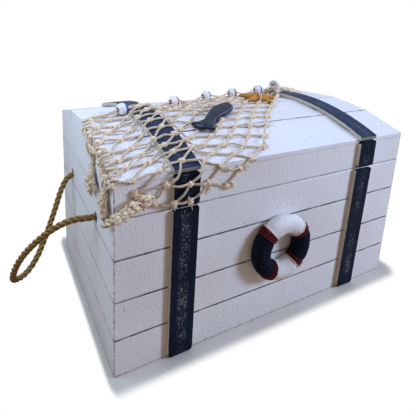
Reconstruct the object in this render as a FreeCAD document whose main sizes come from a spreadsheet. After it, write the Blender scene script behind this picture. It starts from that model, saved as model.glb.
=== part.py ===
import FreeCAD, Part
import math
import os
from FreeCAD import Vector, Rotation, Placement

# Decorative seaside chest: a planked wooden box with a five-edged arched lid,
# rope handles at both ends, slat bands, a felt life ring and a knotted net
# with beads, a fish and a starfish laid over the lid.
# The frame has its origin at the centre of the underside, +X to the right
# along the length, +Y to the back and +Z up. Lengths are in millimetres.

doc = FreeCAD.newDocument("treasure_chest")
sheet = doc.addObject("Spreadsheet::Sheet", "Sizes")

# Driving sizes, one named value for each
SIZES = [
    ("chest_length", 400.0),
    ("chest_depth", 252.0),
    ("bottom_row", 43.5),
    ("lower_row", 43.5),
    ("upper_row", 46.0),
    ("top_row", 42.0),
    ("wall", 8.0),
    ("plank_gap", 0.9),
    ("edge_round", 0.6),
    ("base_thickness", 6.0),
    ("batten_side", 12.0),
    ("batten_drop", 2.0),
    ("lid_gap", 0.5),
    ("lid_side_height", 39.0),
    ("lid_rise", 21.5),
    ("stave_thickness", 5.0),
    ("stave_gap", 0.5),
    ("seat_clearance", 0.1),
    ("soft_clearance", 0.3),
    ("band_width", 29.0),
    ("band_thickness", 5.0),
    ("band_foot", 1.5),
    ("band_head", 1.5),
    ("band_corner", 4.0),
    ("band_round", 1.0),
    ("left_band_inset", 71.0),
    ("right_body_band_inset", 75.2),
    ("right_lid_band_inset", 70.5),
    ("lid_band_lift", 1.5),
    ("lid_band_drop", 2.5),
    ("top_band_reach", 3.0),
    ("ring_mean_radius", 29.5),
    ("ring_tube_radius", 10.5),
    ("ring_press", 1.5),
    ("ring_place", -4.0),
    ("ring_height", 99.5),
    ("binding_thickness", 0.9),
    ("rope_diameter", 7.0),
    ("rope_hole", 12.0),
    ("rope_hole_rise", 12.0),
    ("rope_hole_spread", 120.0),
    ("rope_pivot_out", 5.0),
    ("rope_knot", 15.0),
    ("hinge_place", 130.0),
    ("hinge_width", 26.0),
    ("hinge_leaf", 24.0),
    ("hinge_plate", 1.2),
    ("hinge_barrel", 4.8),
    ("hinge_pin", 2.4),
    ("pin_clearance", 0.12),
    ("knuckle_gap", 0.3),
    ("tongue_length", 9.0),
    ("tongue_width", 5.0),
    ("tongue_clearance", 0.3),
    ("lid_opening", 100.0),
    ("screw_shank", 2.2),
    ("screw_head", 4.4),
    ("screw_length", 7.0),
    ("net_cord", 2.4),
    ("bead_diameter", 15.0),
    ("bead_length", 13.0),
    ("bead_hole", 4.5),
    ("bead_cord", 2.4),
    ("fish_thickness", 5.5),
    ("fish_edge", 1.6),
    ("star_radius", 31.0),
    ("star_waist", 13.0),
    ("star_thickness", 8.0),
    ("star_crest", 5.0),
]
for row, (alias, value) in enumerate(SIZES, start=1):
    sheet.set("A%d" % row, alias)
    sheet.set("B%d" % row, repr(value))
    sheet.setAlias("B%d" % row, alias)
doc.recompute()


def size(alias):
    return float(getattr(sheet, alias))


# Places worked out from the driving sizes
body_height = size("bottom_row") + size("lower_row") + size("upper_row") + size("top_row")
half_length = size("chest_length") / 2
half_depth = size("chest_depth") / 2
wall = size("wall")
lid_start = body_height + size("lid_gap")
eaves = body_height + size("lid_side_height")
arch_radius = (half_depth ** 2 + size("lid_rise") ** 2) / (2 * size("lid_rise"))
arch_centre = eaves + size("lid_rise") - arch_radius
arch_half_angle = math.asin(half_depth / arch_radius)
stave_count = 4
facet_turn = 2 * arch_half_angle / stave_count
half_facet = facet_turn / 2
stave_inner_radius = arch_radius - size("stave_thickness") / math.cos(half_facet)

BODY_HEIGHT = "(Sizes.bottom_row + Sizes.lower_row + Sizes.upper_row + Sizes.top_row)"
ROW_FLOORS = [
    "0",
    "(Sizes.bottom_row)",
    "(Sizes.bottom_row + Sizes.lower_row)",
    "(Sizes.bottom_row + Sizes.lower_row + Sizes.upper_row)",
]
ROW_HEIGHTS = ["Sizes.bottom_row", "Sizes.lower_row", "Sizes.upper_row", "Sizes.top_row"]

parts = []


def keep(thing, label):
    # marks a finished piece; its label becomes the name of its file
    thing.Label = label
    parts.append(thing)
    return thing


def bound_box(name, lengths, corner):
    # a rectangular board whose sides and corner follow the sheet
    board = doc.addObject("Part::Box", name)
    for side, text in zip(("Length", "Width", "Height"), lengths):
        board.setExpression(side, text)
    for axis, text in zip(("x", "y", "z"), corner):
        board.setExpression("Placement.Base." + axis, text)
    return board


def rounded(name, source, radius, test):
    # rounds the edges of a piece that pass the test
    doc.recompute()
    chosen = []
    for number, edge in enumerate(source.Shape.Edges, start=1):
        if test(edge):
            chosen.append((number, radius, radius))
    piece = doc.addObject("Part::Fillet", name)
    piece.Base = source
    piece.Edges = chosen
    return piece


def cut_by(name, source, tools):
    # takes a list of tool objects out of a piece
    if len(tools) == 1:
        tool = tools[0]
    else:
        tool = doc.addObject("Part::MultiFuse", name + "_tools")
        tool.Shapes = tools
    piece = doc.addObject("Part::Cut", name)
    piece.Base = source
    piece.Tool = tool
    return piece


def bound_cylinder(name, radius, height, corner, axis, angle):
    rod = doc.addObject("Part::Cylinder", name)
    rod.setExpression("Radius", radius)
    rod.setExpression("Height", height)
    rod.Placement.Rotation = Rotation(axis, angle)
    for letter, text in zip(("x", "y", "z"), corner):
        rod.setExpression("Placement.Base." + letter, text)
    return rod


def is_long(edge, axis, least):
    # true for a straight edge along the axis, at least so long
    if not isinstance(edge.Curve, Part.Line):
        return False
    span = edge.Vertexes[-1].Point - edge.Vertexes[0].Point
    return abs(span.dot(axis)) > 0.999 * span.Length and span.Length > least


X_AXIS = Vector(1, 0, 0)
Y_AXIS = Vector(0, 1, 0)
Z_AXIS = Vector(0, 0, 1)
edge_round = size("edge_round")

# Rope holes, two in the fourth row of each end
rope_y = size("rope_hole_spread") / 2
rope_z = body_height - size("top_row") + size("rope_hole_rise")
ROPE_HEIGHT = ROW_FLOORS[-1] + " + Sizes.rope_hole_rise"


def rope_holes(name, side):
    tools = []
    for mark, sign in (("front", "-"), ("rear", "")):
        start = "%s * Sizes.chest_length / 2 - 2 * Sizes.wall" % side
        tools.append(bound_cylinder(
            "%s_%s_hole" % (name, mark), "Sizes.rope_hole / 2", "4 * Sizes.wall",
            (start, sign + "Sizes.rope_hole_spread / 2", ROPE_HEIGHT),
            Y_AXIS, 90))
    return tools


# Hinge places: the axis runs along X just behind the back face at the split
hinge_y = half_depth + size("hinge_barrel") / 2 + size("seat_clearance")
hinge_z = body_height + size("lid_gap") / 2
screw_spread = size("hinge_width") / 2 - size("screw_head") / 2 - size("hinge_plate")
screw_drop = size("hinge_leaf") / 2 + size("hinge_barrel") / 4
HINGE_Z = BODY_HEIGHT + " + Sizes.lid_gap / 2"
SPREAD = "(Sizes.hinge_width / 2 - Sizes.screw_head / 2 - Sizes.hinge_plate)"
DROP = "(Sizes.hinge_leaf / 2 + Sizes.hinge_barrel / 4)"


def screw_bores(name, side, level):
    # pilot holes for the two screws of one leaf, from the back face inwards
    tools = []
    for mark, sign in (("a", "-"), ("b", "+")):
        place = "%s * Sizes.hinge_place %s %s" % (side, sign, SPREAD)
        tools.append(bound_cylinder(
            "%s_bore_%s" % (name, mark), "Sizes.screw_shank / 2", "2 * Sizes.wall",
            (place, "Sizes.chest_depth / 2 - Sizes.wall", HINGE_Z + level + DROP),
            X_AXIS, -90))
    return tools


# Body planks: four rows of front, back and end planks with open joints
for row in range(len(ROW_HEIGHTS)):
    under = "0" if row == 0 else "Sizes.plank_gap / 2"
    over = "0" if row == len(ROW_HEIGHTS) - 1 else "Sizes.plank_gap / 2"
    height = "%s - %s - %s" % (ROW_HEIGHTS[row], under, over)
    floor = "%s + %s" % (ROW_FLOORS[row], under)
    for side, start in (("front", "-Sizes.chest_depth / 2"),
                        ("back", "Sizes.chest_depth / 2 - Sizes.wall")):
        name = "%s_plank_%d" % (side, row + 1)
        board = bound_box(name + "_board", ("Sizes.chest_length", "Sizes.wall", height),
                          ("-Sizes.chest_length / 2", start, floor))
        plank = rounded(name + "_eased", board, edge_round,
                        lambda e: is_long(e, X_AXIS, half_length))
        if side == "back" and row == len(ROW_HEIGHTS) - 1:
            bores = screw_bores("lower_left", "-1", " - ") + screw_bores("lower_right", "1", " - ")
            plank = cut_by(name + "_bored", plank, bores)
        keep(plank, name)
    for side, start in (("left", "-Sizes.chest_length / 2"),
                        ("right", "Sizes.chest_length / 2 - Sizes.wall")):
        name = "%s_end_plank_%d" % (side, row + 1)
        width = "Sizes.chest_depth - 2 * Sizes.wall"
        board = bound_box(name + "_board", ("Sizes.wall", width, height),
                          (start, "-Sizes.chest_depth / 2 + Sizes.wall", floor))
        plank = rounded(name + "_eased", board, edge_round / 2,
                        lambda e: is_long(e, Y_AXIS, half_depth))
        if row == len(ROW_HEIGHTS) - 1:
            sign = "-1" if side == "left" else "1"
            plank = cut_by(name + "_bored", plank, rope_holes(name, sign))
        keep(plank, name)

# Base panel, let in between the four walls
base = bound_box("base_board",
                 ("Sizes.chest_length - 2 * Sizes.wall", "Sizes.chest_depth - 2 * Sizes.wall",
                  "Sizes.base_thickness"),
                 ("-Sizes.chest_length / 2 + Sizes.wall", "-Sizes.chest_depth / 2 + Sizes.wall",
                  "0"))
keep(base, "base_panel")

# Corner battens that the planks are nailed to
for name, x_text, y_text in (
        ("front_left_batten", "-Sizes.chest_length / 2 + Sizes.wall",
         "-Sizes.chest_depth / 2 + Sizes.wall"),
        ("front_right_batten", "Sizes.chest_length / 2 - Sizes.wall - Sizes.batten_side",
         "-Sizes.chest_depth / 2 + Sizes.wall"),
        ("back_left_batten", "-Sizes.chest_length / 2 + Sizes.wall",
         "Sizes.chest_depth / 2 - Sizes.wall - Sizes.batten_side"),
        ("back_right_batten", "Sizes.chest_length / 2 - Sizes.wall - Sizes.batten_side",
         "Sizes.chest_depth / 2 - Sizes.wall - Sizes.batten_side")):
    batten = bound_box(name + "_board",
                       ("Sizes.batten_side", "Sizes.batten_side",
                        BODY_HEIGHT + " - Sizes.base_thickness - Sizes.batten_drop"),
                       (x_text, y_text, "Sizes.base_thickness"))
    keep(batten, name)


def sketched_body(name, plane, loops):
    # a body with one sketch of closed loops of straight sides on an origin plane
    body = doc.addObject("PartDesign::Body", name)
    sketch = body.newObject("Sketcher::SketchObject", name + "_outline")
    for feature in body.Origin.OriginFeatures:
        if feature.Role == plane:
            sketch.AttachmentSupport = [(feature, "")]
    sketch.MapMode = "FlatFace"
    for loop in loops:
        first = sketch.GeometryCount
        for here, there in zip(loop, loop[1:] + loop[:1]):
            sketch.addGeometry(Part.LineSegment(Vector(here[0], here[1], 0),
                                                Vector(there[0], there[1], 0)), False)
    doc.recompute()
    return body, sketch


def padded_body(name, plane, loops, length, reversed_pad=False, midplane=False):
    body, sketch = sketched_body(name, plane, loops)
    pad = body.newObject("PartDesign::Pad", name + "_pad")
    pad.Profile = sketch
    pad.setExpression("Length", length)
    pad.Midplane = midplane
    pad.Reversed = reversed_pad
    sketch.Visibility = False
    doc.recompute()
    return body


def arch_point(angle, radius):
    # a point (y, z) of the lid arch, the angle counted from the crest to the back
    return (radius * math.sin(angle), arch_centre + radius * math.cos(angle))


arch_angles = [-arch_half_angle + facet_turn * step for step in range(stave_count + 1)]
under_stave = stave_inner_radius - size("seat_clearance")

# Lid front and back boards, each with its top planed to the slope under the edge stave
edge_slope = arch_half_angle - half_facet
stave_drop = size("stave_thickness") / math.cos(edge_slope)
board_top_outer = eaves - stave_drop - size("seat_clearance")
board_top_inner = board_top_outer + wall * math.tan(edge_slope)
for name, sign in (("lid_front_board", -1), ("lid_back_board", 1)):
    outline = [
        (sign * half_depth, lid_start),
        (sign * (half_depth - wall), lid_start),
        (sign * (half_depth - wall), board_top_inner),
        (sign * half_depth, board_top_outer),
    ]
    body = padded_body(name + "_body", "YZ_Plane", [outline], "Sizes.chest_length", midplane=True)
    board = rounded(name + "_eased", body, edge_round / 2,
                    lambda e: is_long(e, X_AXIS, half_length) and e.BoundBox.ZMax < lid_start + wall)
    if name == "lid_back_board":
        bores = screw_bores("upper_left", "-1", " + ") + screw_bores("upper_right", "1", " + ")
        board = cut_by(name + "_bored", board, bores)
    keep(board, name)

# Lid end boards, arched under the staves and set between the front and back boards
inner_y = half_depth - wall
crown = [arch_point(angle, under_stave) for angle in arch_angles[1:-1]]
shoulder_z = board_top_inner
end_outline = [(-inner_y, lid_start), (inner_y, lid_start), (inner_y, shoulder_z)]
end_outline += list(reversed(crown))
end_outline += [(-inner_y, shoulder_z)]
for name, start in (("lid_left_end", "-Sizes.chest_length / 2"),
                    ("lid_right_end", "Sizes.chest_length / 2 - Sizes.wall")):
    body = padded_body(name + "_body", "YZ_Plane", [end_outline], "Sizes.wall")
    body.setExpression("Placement.Base.x", start)
    keep(body, name)

# Lid staves: four flat slats side by side around the arch
stave_trim = size("stave_gap") / 2
for step in range(stave_count):
    near, far = arch_angles[step], arch_angles[step + 1]
    slope = (near + far) / 2
    along = (math.cos(slope), -math.sin(slope))
    outer_near = arch_point(near, arch_radius)
    outer_far = arch_point(far, arch_radius)
    inner_near = arch_point(near, stave_inner_radius)
    inner_far = arch_point(far, stave_inner_radius)
    if step == 0:
        inner_near = (-half_depth, eaves - stave_drop)
    if step == stave_count - 1:
        inner_far = (half_depth, eaves - stave_drop)
    trim_near = 0 if step == 0 else stave_trim
    trim_far = 0 if step == stave_count - 1 else stave_trim
    outline = [
        (outer_near[0] + along[0] * trim_near, outer_near[1] + along[1] * trim_near),
        (outer_far[0] - along[0] * trim_far, outer_far[1] - along[1] * trim_far),
        (inner_far[0] - along[0] * trim_far, inner_far[1] - along[1] * trim_far),
        (inner_near[0] + along[0] * trim_near, inner_near[1] + along[1] * trim_near),
    ]
    name = "lid_stave_%d" % (step + 1)
    body = padded_body(name + "_body", "YZ_Plane", [outline], "Sizes.chest_length", midplane=True)
    top_z = min(outer_near[1], outer_far[1]) - edge_round
    eased = rounded(name + "_eased", body, edge_round,
                    lambda e: is_long(e, X_AXIS, half_length) and e.BoundBox.ZMin > top_z)
    keep(eased, name)

# Flat bands glued down the front of the body and of the lid
band = size("band_width")
band_out = size("band_thickness")
band_test_corner = band / 4
left_band_x = size("left_band_inset") - half_length
right_body_band_x = half_length - size("right_body_band_inset")
right_lid_band_x = half_length - size("right_lid_band_inset")
LEFT_BAND_X = "(Sizes.left_band_inset - Sizes.chest_length / 2)"
RIGHT_LID_BAND_X = "(Sizes.chest_length / 2 - Sizes.right_lid_band_inset)"


def flat_band(name, floor, height, place, lean, corners):
    # an upright slat with its lower (and for the lid its upper) corners rounded
    slat = doc.addObject("Part::Box", name + "_slat")
    slat.setExpression("Length", "Sizes.band_width")
    slat.setExpression("Width", "Sizes.band_thickness")
    slat.setExpression("Height", height)
    doc.recompute()
    tall = slat.Height.Value

    def at_corner(edge):
        if not is_long(edge, Y_AXIS, band_out / 2):
            return False
        centre = edge.CenterOfMass
        return (centre.z < band_test_corner) if corners == "foot" else True

    shaped = rounded(name + "_shaped", slat, size("band_corner"), at_corner)
    doc.recompute()
    eased = rounded(name + "_eased", shaped, size("band_round") / 2,
                    lambda e: e.BoundBox.YMax < band_out / 4)
    eased.Placement = Placement(Vector(place - band / 2, -half_depth - band_out, floor),
                                Rotation(Y_AXIS, lean), Vector(band / 2, 0, tall / 2))
    return keep(eased, name)


band_height = BODY_HEIGHT + " - Sizes.band_foot - Sizes.band_head"
lid_band_height = "Sizes.lid_side_height - Sizes.lid_gap - Sizes.lid_band_lift - Sizes.lid_band_drop"
right_band_lean = 1.6
flat_band("left_body_band", size("band_foot"), band_height, left_band_x, 0, "foot")
flat_band("right_body_band", size("band_foot"), band_height, right_body_band_x,
          right_band_lean, "foot")
lid_band_floor = lid_start + size("lid_band_lift")
flat_band("left_lid_front_band", lid_band_floor, lid_band_height, left_band_x, 0, "all")
flat_band("right_lid_front_band", lid_band_floor, lid_band_height,
          right_lid_band_x, 0, "all")

# Curved bands bent over the lid, resting on the five long edges of the staves
strap_inner = arch_radius + size("seat_clearance") / 2
strap_outer = strap_inner + band_out
strap_turn = arch_half_angle + size("top_band_reach") / strap_outer
for name, place in (("left_lid_top_band", LEFT_BAND_X),
                    ("right_lid_top_band", RIGHT_LID_BAND_X)):
    body = doc.addObject("PartDesign::Body", name + "_body")
    sketch = body.newObject("Sketcher::SketchObject", name + "_outline")
    for feature in body.Origin.OriginFeatures:
        if feature.Role == "YZ_Plane":
            sketch.AttachmentSupport = [(feature, "")]
    sketch.MapMode = "FlatFace"
    centre = Vector(0, arch_centre, 0)
    upright = math.pi / 2
    ends = []
    for radius in (strap_inner, strap_outer):
        circle = Part.Circle(centre, Z_AXIS, radius)
        sketch.addGeometry(Part.ArcOfCircle(circle, upright - strap_turn, upright + strap_turn), False)
        ends.append([Vector(side * radius * math.sin(strap_turn),
                            arch_centre + radius * math.cos(strap_turn), 0) for side in (-1, 1)])
    for low, high in zip(ends[0], ends[1]):
        sketch.addGeometry(Part.LineSegment(low, high), False)
    doc.recompute()
    pad = body.newObject("PartDesign::Pad", name + "_pad")
    pad.Profile = sketch
    pad.setExpression("Length", "Sizes.band_width")
    pad.Midplane = True
    doc.recompute()
    eased = rounded(name + "_eased", body, size("band_round"),
                    lambda e: abs(e.BoundBox.XLength) < edge_round
                    and abs(e.CenterOfMass.z - arch_centre) > 0
                    and e.Length > half_depth and e.Curve.Radius > strap_inner + band_out / 2)
    eased.setExpression("Placement.Base.x", place)
    keep(eased, name)

# Felt life ring on the front, its back pressed flat against the planks
RING_Y = "-Sizes.chest_depth / 2 - Sizes.ring_tube_radius + Sizes.ring_press"
ring_reach = size("ring_mean_radius") + 2 * size("ring_tube_radius")


def ring_torus(name, tube, start_turn, sweep):
    torus = doc.addObject("Part::Torus", name)
    torus.setExpression("Radius1", "Sizes.ring_mean_radius")
    torus.setExpression("Radius2", tube)
    torus.Angle3 = sweep
    torus.Placement.Rotation = Rotation(X_AXIS, 90) * Rotation(Z_AXIS, start_turn)
    torus.setExpression("Placement.Base.x", "Sizes.ring_place")
    torus.setExpression("Placement.Base.y", RING_Y)
    torus.setExpression("Placement.Base.z", "Sizes.ring_height")
    return torus


def wall_block(name):
    # the space behind the front face, taken out of what is pressed against it
    block = doc.addObject("Part::Box", name)
    block.Length = 2 * ring_reach
    block.Width = ring_reach
    block.Height = 2 * ring_reach
    block.Placement.Base = Vector(size("ring_place") - ring_reach, -half_depth,
                                  size("ring_height") - ring_reach)
    return block


ring = cut_by("life_ring_flat", ring_torus("ring_form", "Sizes.ring_tube_radius", 0, 360),
              [wall_block("ring_wall")])
keep(ring, "life_ring")

# Four thread bindings wound round the ring where its colours meet
binding_turns = [134.0, 40.0, -46.0, -122.0]
binding_sweep = 17.0
bindings = []
for number, turn in enumerate(binding_turns, start=1):
    outer = ring_torus("binding_%d_form" % number,
                       "Sizes.ring_tube_radius + Sizes.binding_thickness",
                       turn - binding_sweep / 2, binding_sweep)
    inner = ring_torus("binding_%d_core" % number, "Sizes.ring_tube_radius", 0, 360)
    bindings.append(cut_by("binding_%d" % number, outer,
                           [inner, wall_block("binding_%d_wall" % number)]))
binding_group = doc.addObject("Part::Compound", "binding_group")
binding_group.Links = bindings
keep(binding_group, "ring_bindings")

# Rope handles: a loop of limp jute rope through two holes in each end.
# The route of the loop, from the front hole to the rear hole: how far out of the
# end face, the place along Y, and how far above the holes.
rope_radius = size("rope_diameter") / 2
ROPE_ROUTE = [
    (5.0, -60.0, 0.0),
    (24.0, -56.5, 1.0),
    (43.0, -46.0, -12.0),
    (61.0, -34.0, -33.0),
    (73.0, -23.5, -53.5),
    (80.0, -16.0, -74.0),
    (79.5, -4.5, -91.0),
    (67.0, 9.0, -97.5),
    (52.0, 21.0, -87.5),
    (39.0, 33.5, -66.0),
    (26.0, 46.0, -41.0),
    (16.0, 55.0, -17.0),
    (5.0, 60.0, 0.0),
]
# the ends follow the holes when these are moved
ROPE_ROUTE[0] = (size("rope_pivot_out"), -rope_y, 0.0)
ROPE_ROUTE[-1] = (size("rope_pivot_out"), rope_y, 0.0)
left_loop_route = [(-half_length - out, y, rope_z + up) for out, y, up in ROPE_ROUTE]
arc_share = 0.45


def rope_wire(route, label):
    # straight runs joined by tangent arcs
    points = [Vector(*point) for point in route]
    edges = []
    radii = []
    last = points[0]
    for before, corner, after in zip(points, points[1:], points[2:]):
        into = (corner - before).normalize()
        out = (after - corner).normalize()
        reach = arc_share * min(corner.distanceToPoint(before), corner.distanceToPoint(after))
        turn = into.getAngle(out)
        radii.append(reach / math.tan(turn / 2))
        start = corner - into * reach
        end = corner + out * reach
        inward = (out - into).normalize()
        offset = radii[-1] / math.cos(turn / 2) - radii[-1]
        middle = corner + inward * offset
        edges.append(Part.LineSegment(last, start).toShape())
        edges.append(Part.Arc(start, middle, end).toShape())
        last = end
    edges.append(Part.LineSegment(last, points[-1]).toShape())
    wire = Part.Wire(edges)
    print("%s: length %.1f mm, least radius %.1f mm, radii %s"
          % (label, wire.Length, min(radii), ", ".join("%.0f" % r for r in radii)))
    return wire


def tube_on(wire, radius):
    # a round tube along a wire
    start = wire.Edges[0].Vertexes[0].Point
    heading = wire.Edges[0].tangentAt(wire.Edges[0].FirstParameter)
    circle = Part.Circle(start, heading, radius)
    return wire.makePipeShell([Part.Wire([circle.toShape()])], True, False)


def ball_ended(tube, ends, radius):
    solid = tube
    for end in ends:
        solid = solid.fuse(Part.makeSphere(radius, end))
    return solid.removeSplitter()


rope_loop_wire = rope_wire(left_loop_route, "rope handle")
rope_loop = ball_ended(tube_on(rope_loop_wire, rope_radius),
                       [Vector(*left_loop_route[0]), Vector(*left_loop_route[-1])], rope_radius)
section = math.pi * rope_radius ** 2
print("rope handle: volume %.0f mm3, section x length %.0f mm3"
      % (rope_loop.Volume, section * rope_loop_wire.Length))
stub_end = size("rope_pivot_out") - rope_radius - size("soft_clearance")
knot_radius = size("rope_knot") / 2
knot_bulge = math.sqrt(knot_radius ** 2 - (size("rope_hole") / 2) ** 2)
knot_x = half_length - wall - knot_bulge - size("seat_clearance")
for name, sign in (("left", -1), ("right", 1)):
    handle = doc.addObject("Part::Feature", name + "_rope_handle_loop")
    loop = rope_loop.copy()
    if sign > 0:
        loop = loop.mirror(Vector(0, 0, 0), X_AXIS)
    handle.Shape = loop
    keep(handle, name + "_rope_handle")
    ends = []
    for mark, side in (("front", "-"), ("rear", "")):
        tag = "%s_%s_rope" % (name, mark)
        knot = doc.addObject("Part::Sphere", tag + "_knot")
        knot.setExpression("Radius", "Sizes.rope_knot / 2")
        knot.Placement = Placement(Vector(sign * knot_x, 0, 0), Rotation(Z_AXIS, 90 + 90 * sign))
        knot.setExpression("Placement.Base.y", side + "Sizes.rope_hole_spread / 2")
        knot.setExpression("Placement.Base.z", ROPE_HEIGHT)
        stub = doc.addObject("Part::Cylinder", tag + "_stub")
        stub.setExpression("Radius", "Sizes.rope_diameter / 2")
        stub.Height = half_length + stub_end - knot_x
        stub.Placement = Placement(Vector(sign * knot_x, 0, 0), Rotation(Y_AXIS, sign * 90))
        stub.setExpression("Placement.Base.y", side + "Sizes.rope_hole_spread / 2")
        stub.setExpression("Placement.Base.z", ROPE_HEIGHT)
        joined = doc.addObject("Part::MultiFuse", tag + "_end")
        joined.Shapes = [knot, stub]
        ends.append(joined)
    group = doc.addObject("Part::Compound", name + "_rope_end_pair")
    group.Links = ends
    keep(group, name + "_rope_ends")

# Stop hinges on the back: a lower leaf on the body, an upper leaf on the lid,
# a pin through three knuckles and a tongue that stops the lid when it is open
barrel_radius = size("hinge_barrel") / 2
leaf_start = barrel_radius + size("knuckle_gap")
leaf_reach = size("hinge_leaf") - leaf_start
plate = size("hinge_plate")
knuckle_width = (size("hinge_width") - 2 * size("knuckle_gap")) / 3
pin_radius = size("hinge_pin") / 2
head_radius = size("screw_head") / 2
shank_radius = size("screw_shank") / 2
axis_point = Vector(0, hinge_y, hinge_z)


def hinge_leaf(up, knuckles, bore, tongue):
    # one leaf about its own centre line; up is +1 for the lid, -1 for the body
    width = size("hinge_width")
    floor = hinge_z + leaf_start if up > 0 else hinge_z - size("hinge_leaf")
    solid = Part.makeBox(width, plate, leaf_reach, Vector(-width / 2, half_depth, floor))
    for start in knuckles:
        barrel = Part.makeCylinder(barrel_radius, knuckle_width, Vector(start, hinge_y, hinge_z), X_AXIS)
        low = hinge_z if up > 0 else hinge_z - leaf_start - plate
        strip = Part.makeBox(knuckle_width, plate, leaf_start + plate, Vector(start, half_depth, low))
        solid = solid.fuse([barrel, strip])
    if tongue:
        inner_face = half_depth + plate + size("tongue_clearance")
        tail = Part.makeBox(size("tongue_width"), plate, size("tongue_length"),
                            Vector(-size("tongue_width") / 2, inner_face,
                                   hinge_z - size("tongue_length")))
        tail.rotate(axis_point, X_AXIS, size("lid_opening"))
        solid = solid.fuse(tail)
    hole = Part.makeCylinder(bore, width, Vector(-width / 2, hinge_y, hinge_z), X_AXIS)
    solid = solid.cut(hole)
    for side in (-1, 1):
        place = Vector(side * screw_spread, half_depth, hinge_z + up * screw_drop)
        sink = Part.makeCone(shank_radius, head_radius, plate, place, Y_AXIS)
        solid = solid.cut(sink)
    return solid.removeSplitter()


def screw_at(place):
    # a countersunk screw, its head flush with the leaf
    head = Part.makeCone(shank_radius, head_radius, plate, place, Y_AXIS)
    shank_length = size("screw_length") - plate
    shank = Part.makeCylinder(shank_radius, shank_length, place - Y_AXIS * shank_length, Y_AXIS)
    return head.fuse(shank).removeSplitter()


knuckle_step = knuckle_width + size("knuckle_gap")
outer_knuckles = [-size("hinge_width") / 2, -size("hinge_width") / 2 + 2 * knuckle_step]
middle_knuckle = [-size("hinge_width") / 2 + knuckle_step]
lower_leaf = hinge_leaf(-1, outer_knuckles, pin_radius, False)
upper_leaf = hinge_leaf(1, middle_knuckle, pin_radius + size("pin_clearance"), True)
pins = []
body_screws = []
lid_screws = []
for side, sign in (("left", -1), ("right", 1)):
    for label, shape in (("lower_leaf", lower_leaf), ("upper_leaf", upper_leaf)):
        leaf = doc.addObject("Part::Feature", "%s_%s_form" % (side, label))
        leaf.Shape = shape
        leaf.setExpression("Placement.Base.x", "%d * Sizes.hinge_place" % sign)
        keep(leaf, "%s_hinge_%s" % (side, label))
    pins.append(bound_cylinder(
        side + "_pin", "Sizes.hinge_pin / 2", "Sizes.hinge_width",
        ("%d * Sizes.hinge_place - Sizes.hinge_width / 2" % sign,
         "Sizes.chest_depth / 2 + Sizes.hinge_barrel / 2 + Sizes.seat_clearance", HINGE_Z),
        Y_AXIS, 90))
    for offset in (-1, 1):
        x = sign * size("hinge_place") + offset * screw_spread
        body_screws.append(screw_at(Vector(x, half_depth, hinge_z - screw_drop)))
        lid_screws.append(screw_at(Vector(x, half_depth, hinge_z + screw_drop)))
pin_group = doc.addObject("Part::Compound", "hinge_pin_pair")
pin_group.Links = pins
keep(pin_group, "hinge_pins")
for label, screws in (("body_hinge_screws", body_screws), ("lid_hinge_screws", lid_screws)):
    group = doc.addObject("Part::Feature", label + "_set")
    group.Shape = Part.makeCompound(screws)
    keep(group, label)

# The lid's slopes as flat frames: X along the chest, Y up the slope to the back,
# Z out of the slope. The front face of the lid has a frame of the same kind.
eaves_front = Placement(Vector(0, -half_depth, eaves), Rotation(X_AXIS, 90))


def slope_frame(step):
    near, far = arch_angles[step], arch_angles[step + 1]
    y, z = arch_point(near, arch_radius)
    slope = (near + far) / 2
    return Placement(Vector(0, y, z), Rotation(X_AXIS, -math.degrees(slope)))


def slope_place(y):
    # the slope that carries a place, and the place's distance up that slope
    for step in range(stave_count):
        near_y = arch_point(arch_angles[step], arch_radius)[0]
        far_y = arch_point(arch_angles[step + 1], arch_radius)[0]
        if y <= far_y or step == stave_count - 1:
            slope = (arch_angles[step] + arch_angles[step + 1]) / 2
            return step, (y - near_y) / math.cos(slope)


def on_lid(x, y, rise):
    # the point at a rise over the lid's surface above a place
    step, up = slope_place(y)
    return slope_frame(step).multVec(Vector(x, up, rise))


def prism(loops, depth):
    # a holed flat face pulled up along Z
    wires = []
    for loop in loops:
        points = [Vector(p[0], p[1], 0) for p in loop]
        wires.append(Part.makePolygon(points + points[:1]))
    return Part.Face(wires).extrude(Vector(0, 0, depth))


# Knotted cotton net laid over the lid. The mesh is a leaning grid of cells, each
# place given as x and as y, where y runs on down the front face past the eaves.
# Places over the lid keep their share of its depth, those past the front edge keep
# their distance from it. Along X they keep their share of the way between the bands
# and, past a band, their distance from it.
plan_half_depth = 126.0
plan_left_band = -129.0
plan_right_band = 129.5


def lid_y(y):
    if y < -plan_half_depth:
        return y + plan_half_depth - half_depth
    return y * half_depth / plan_half_depth


def lid_x(x):
    if x < plan_left_band:
        return x - plan_left_band + left_band_x
    if x > plan_right_band:
        return x - plan_right_band + right_lid_band_x
    share = (x - plan_left_band) / (plan_right_band - plan_left_band)
    return left_band_x + share * (right_lid_band_x - left_band_x)


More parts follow.
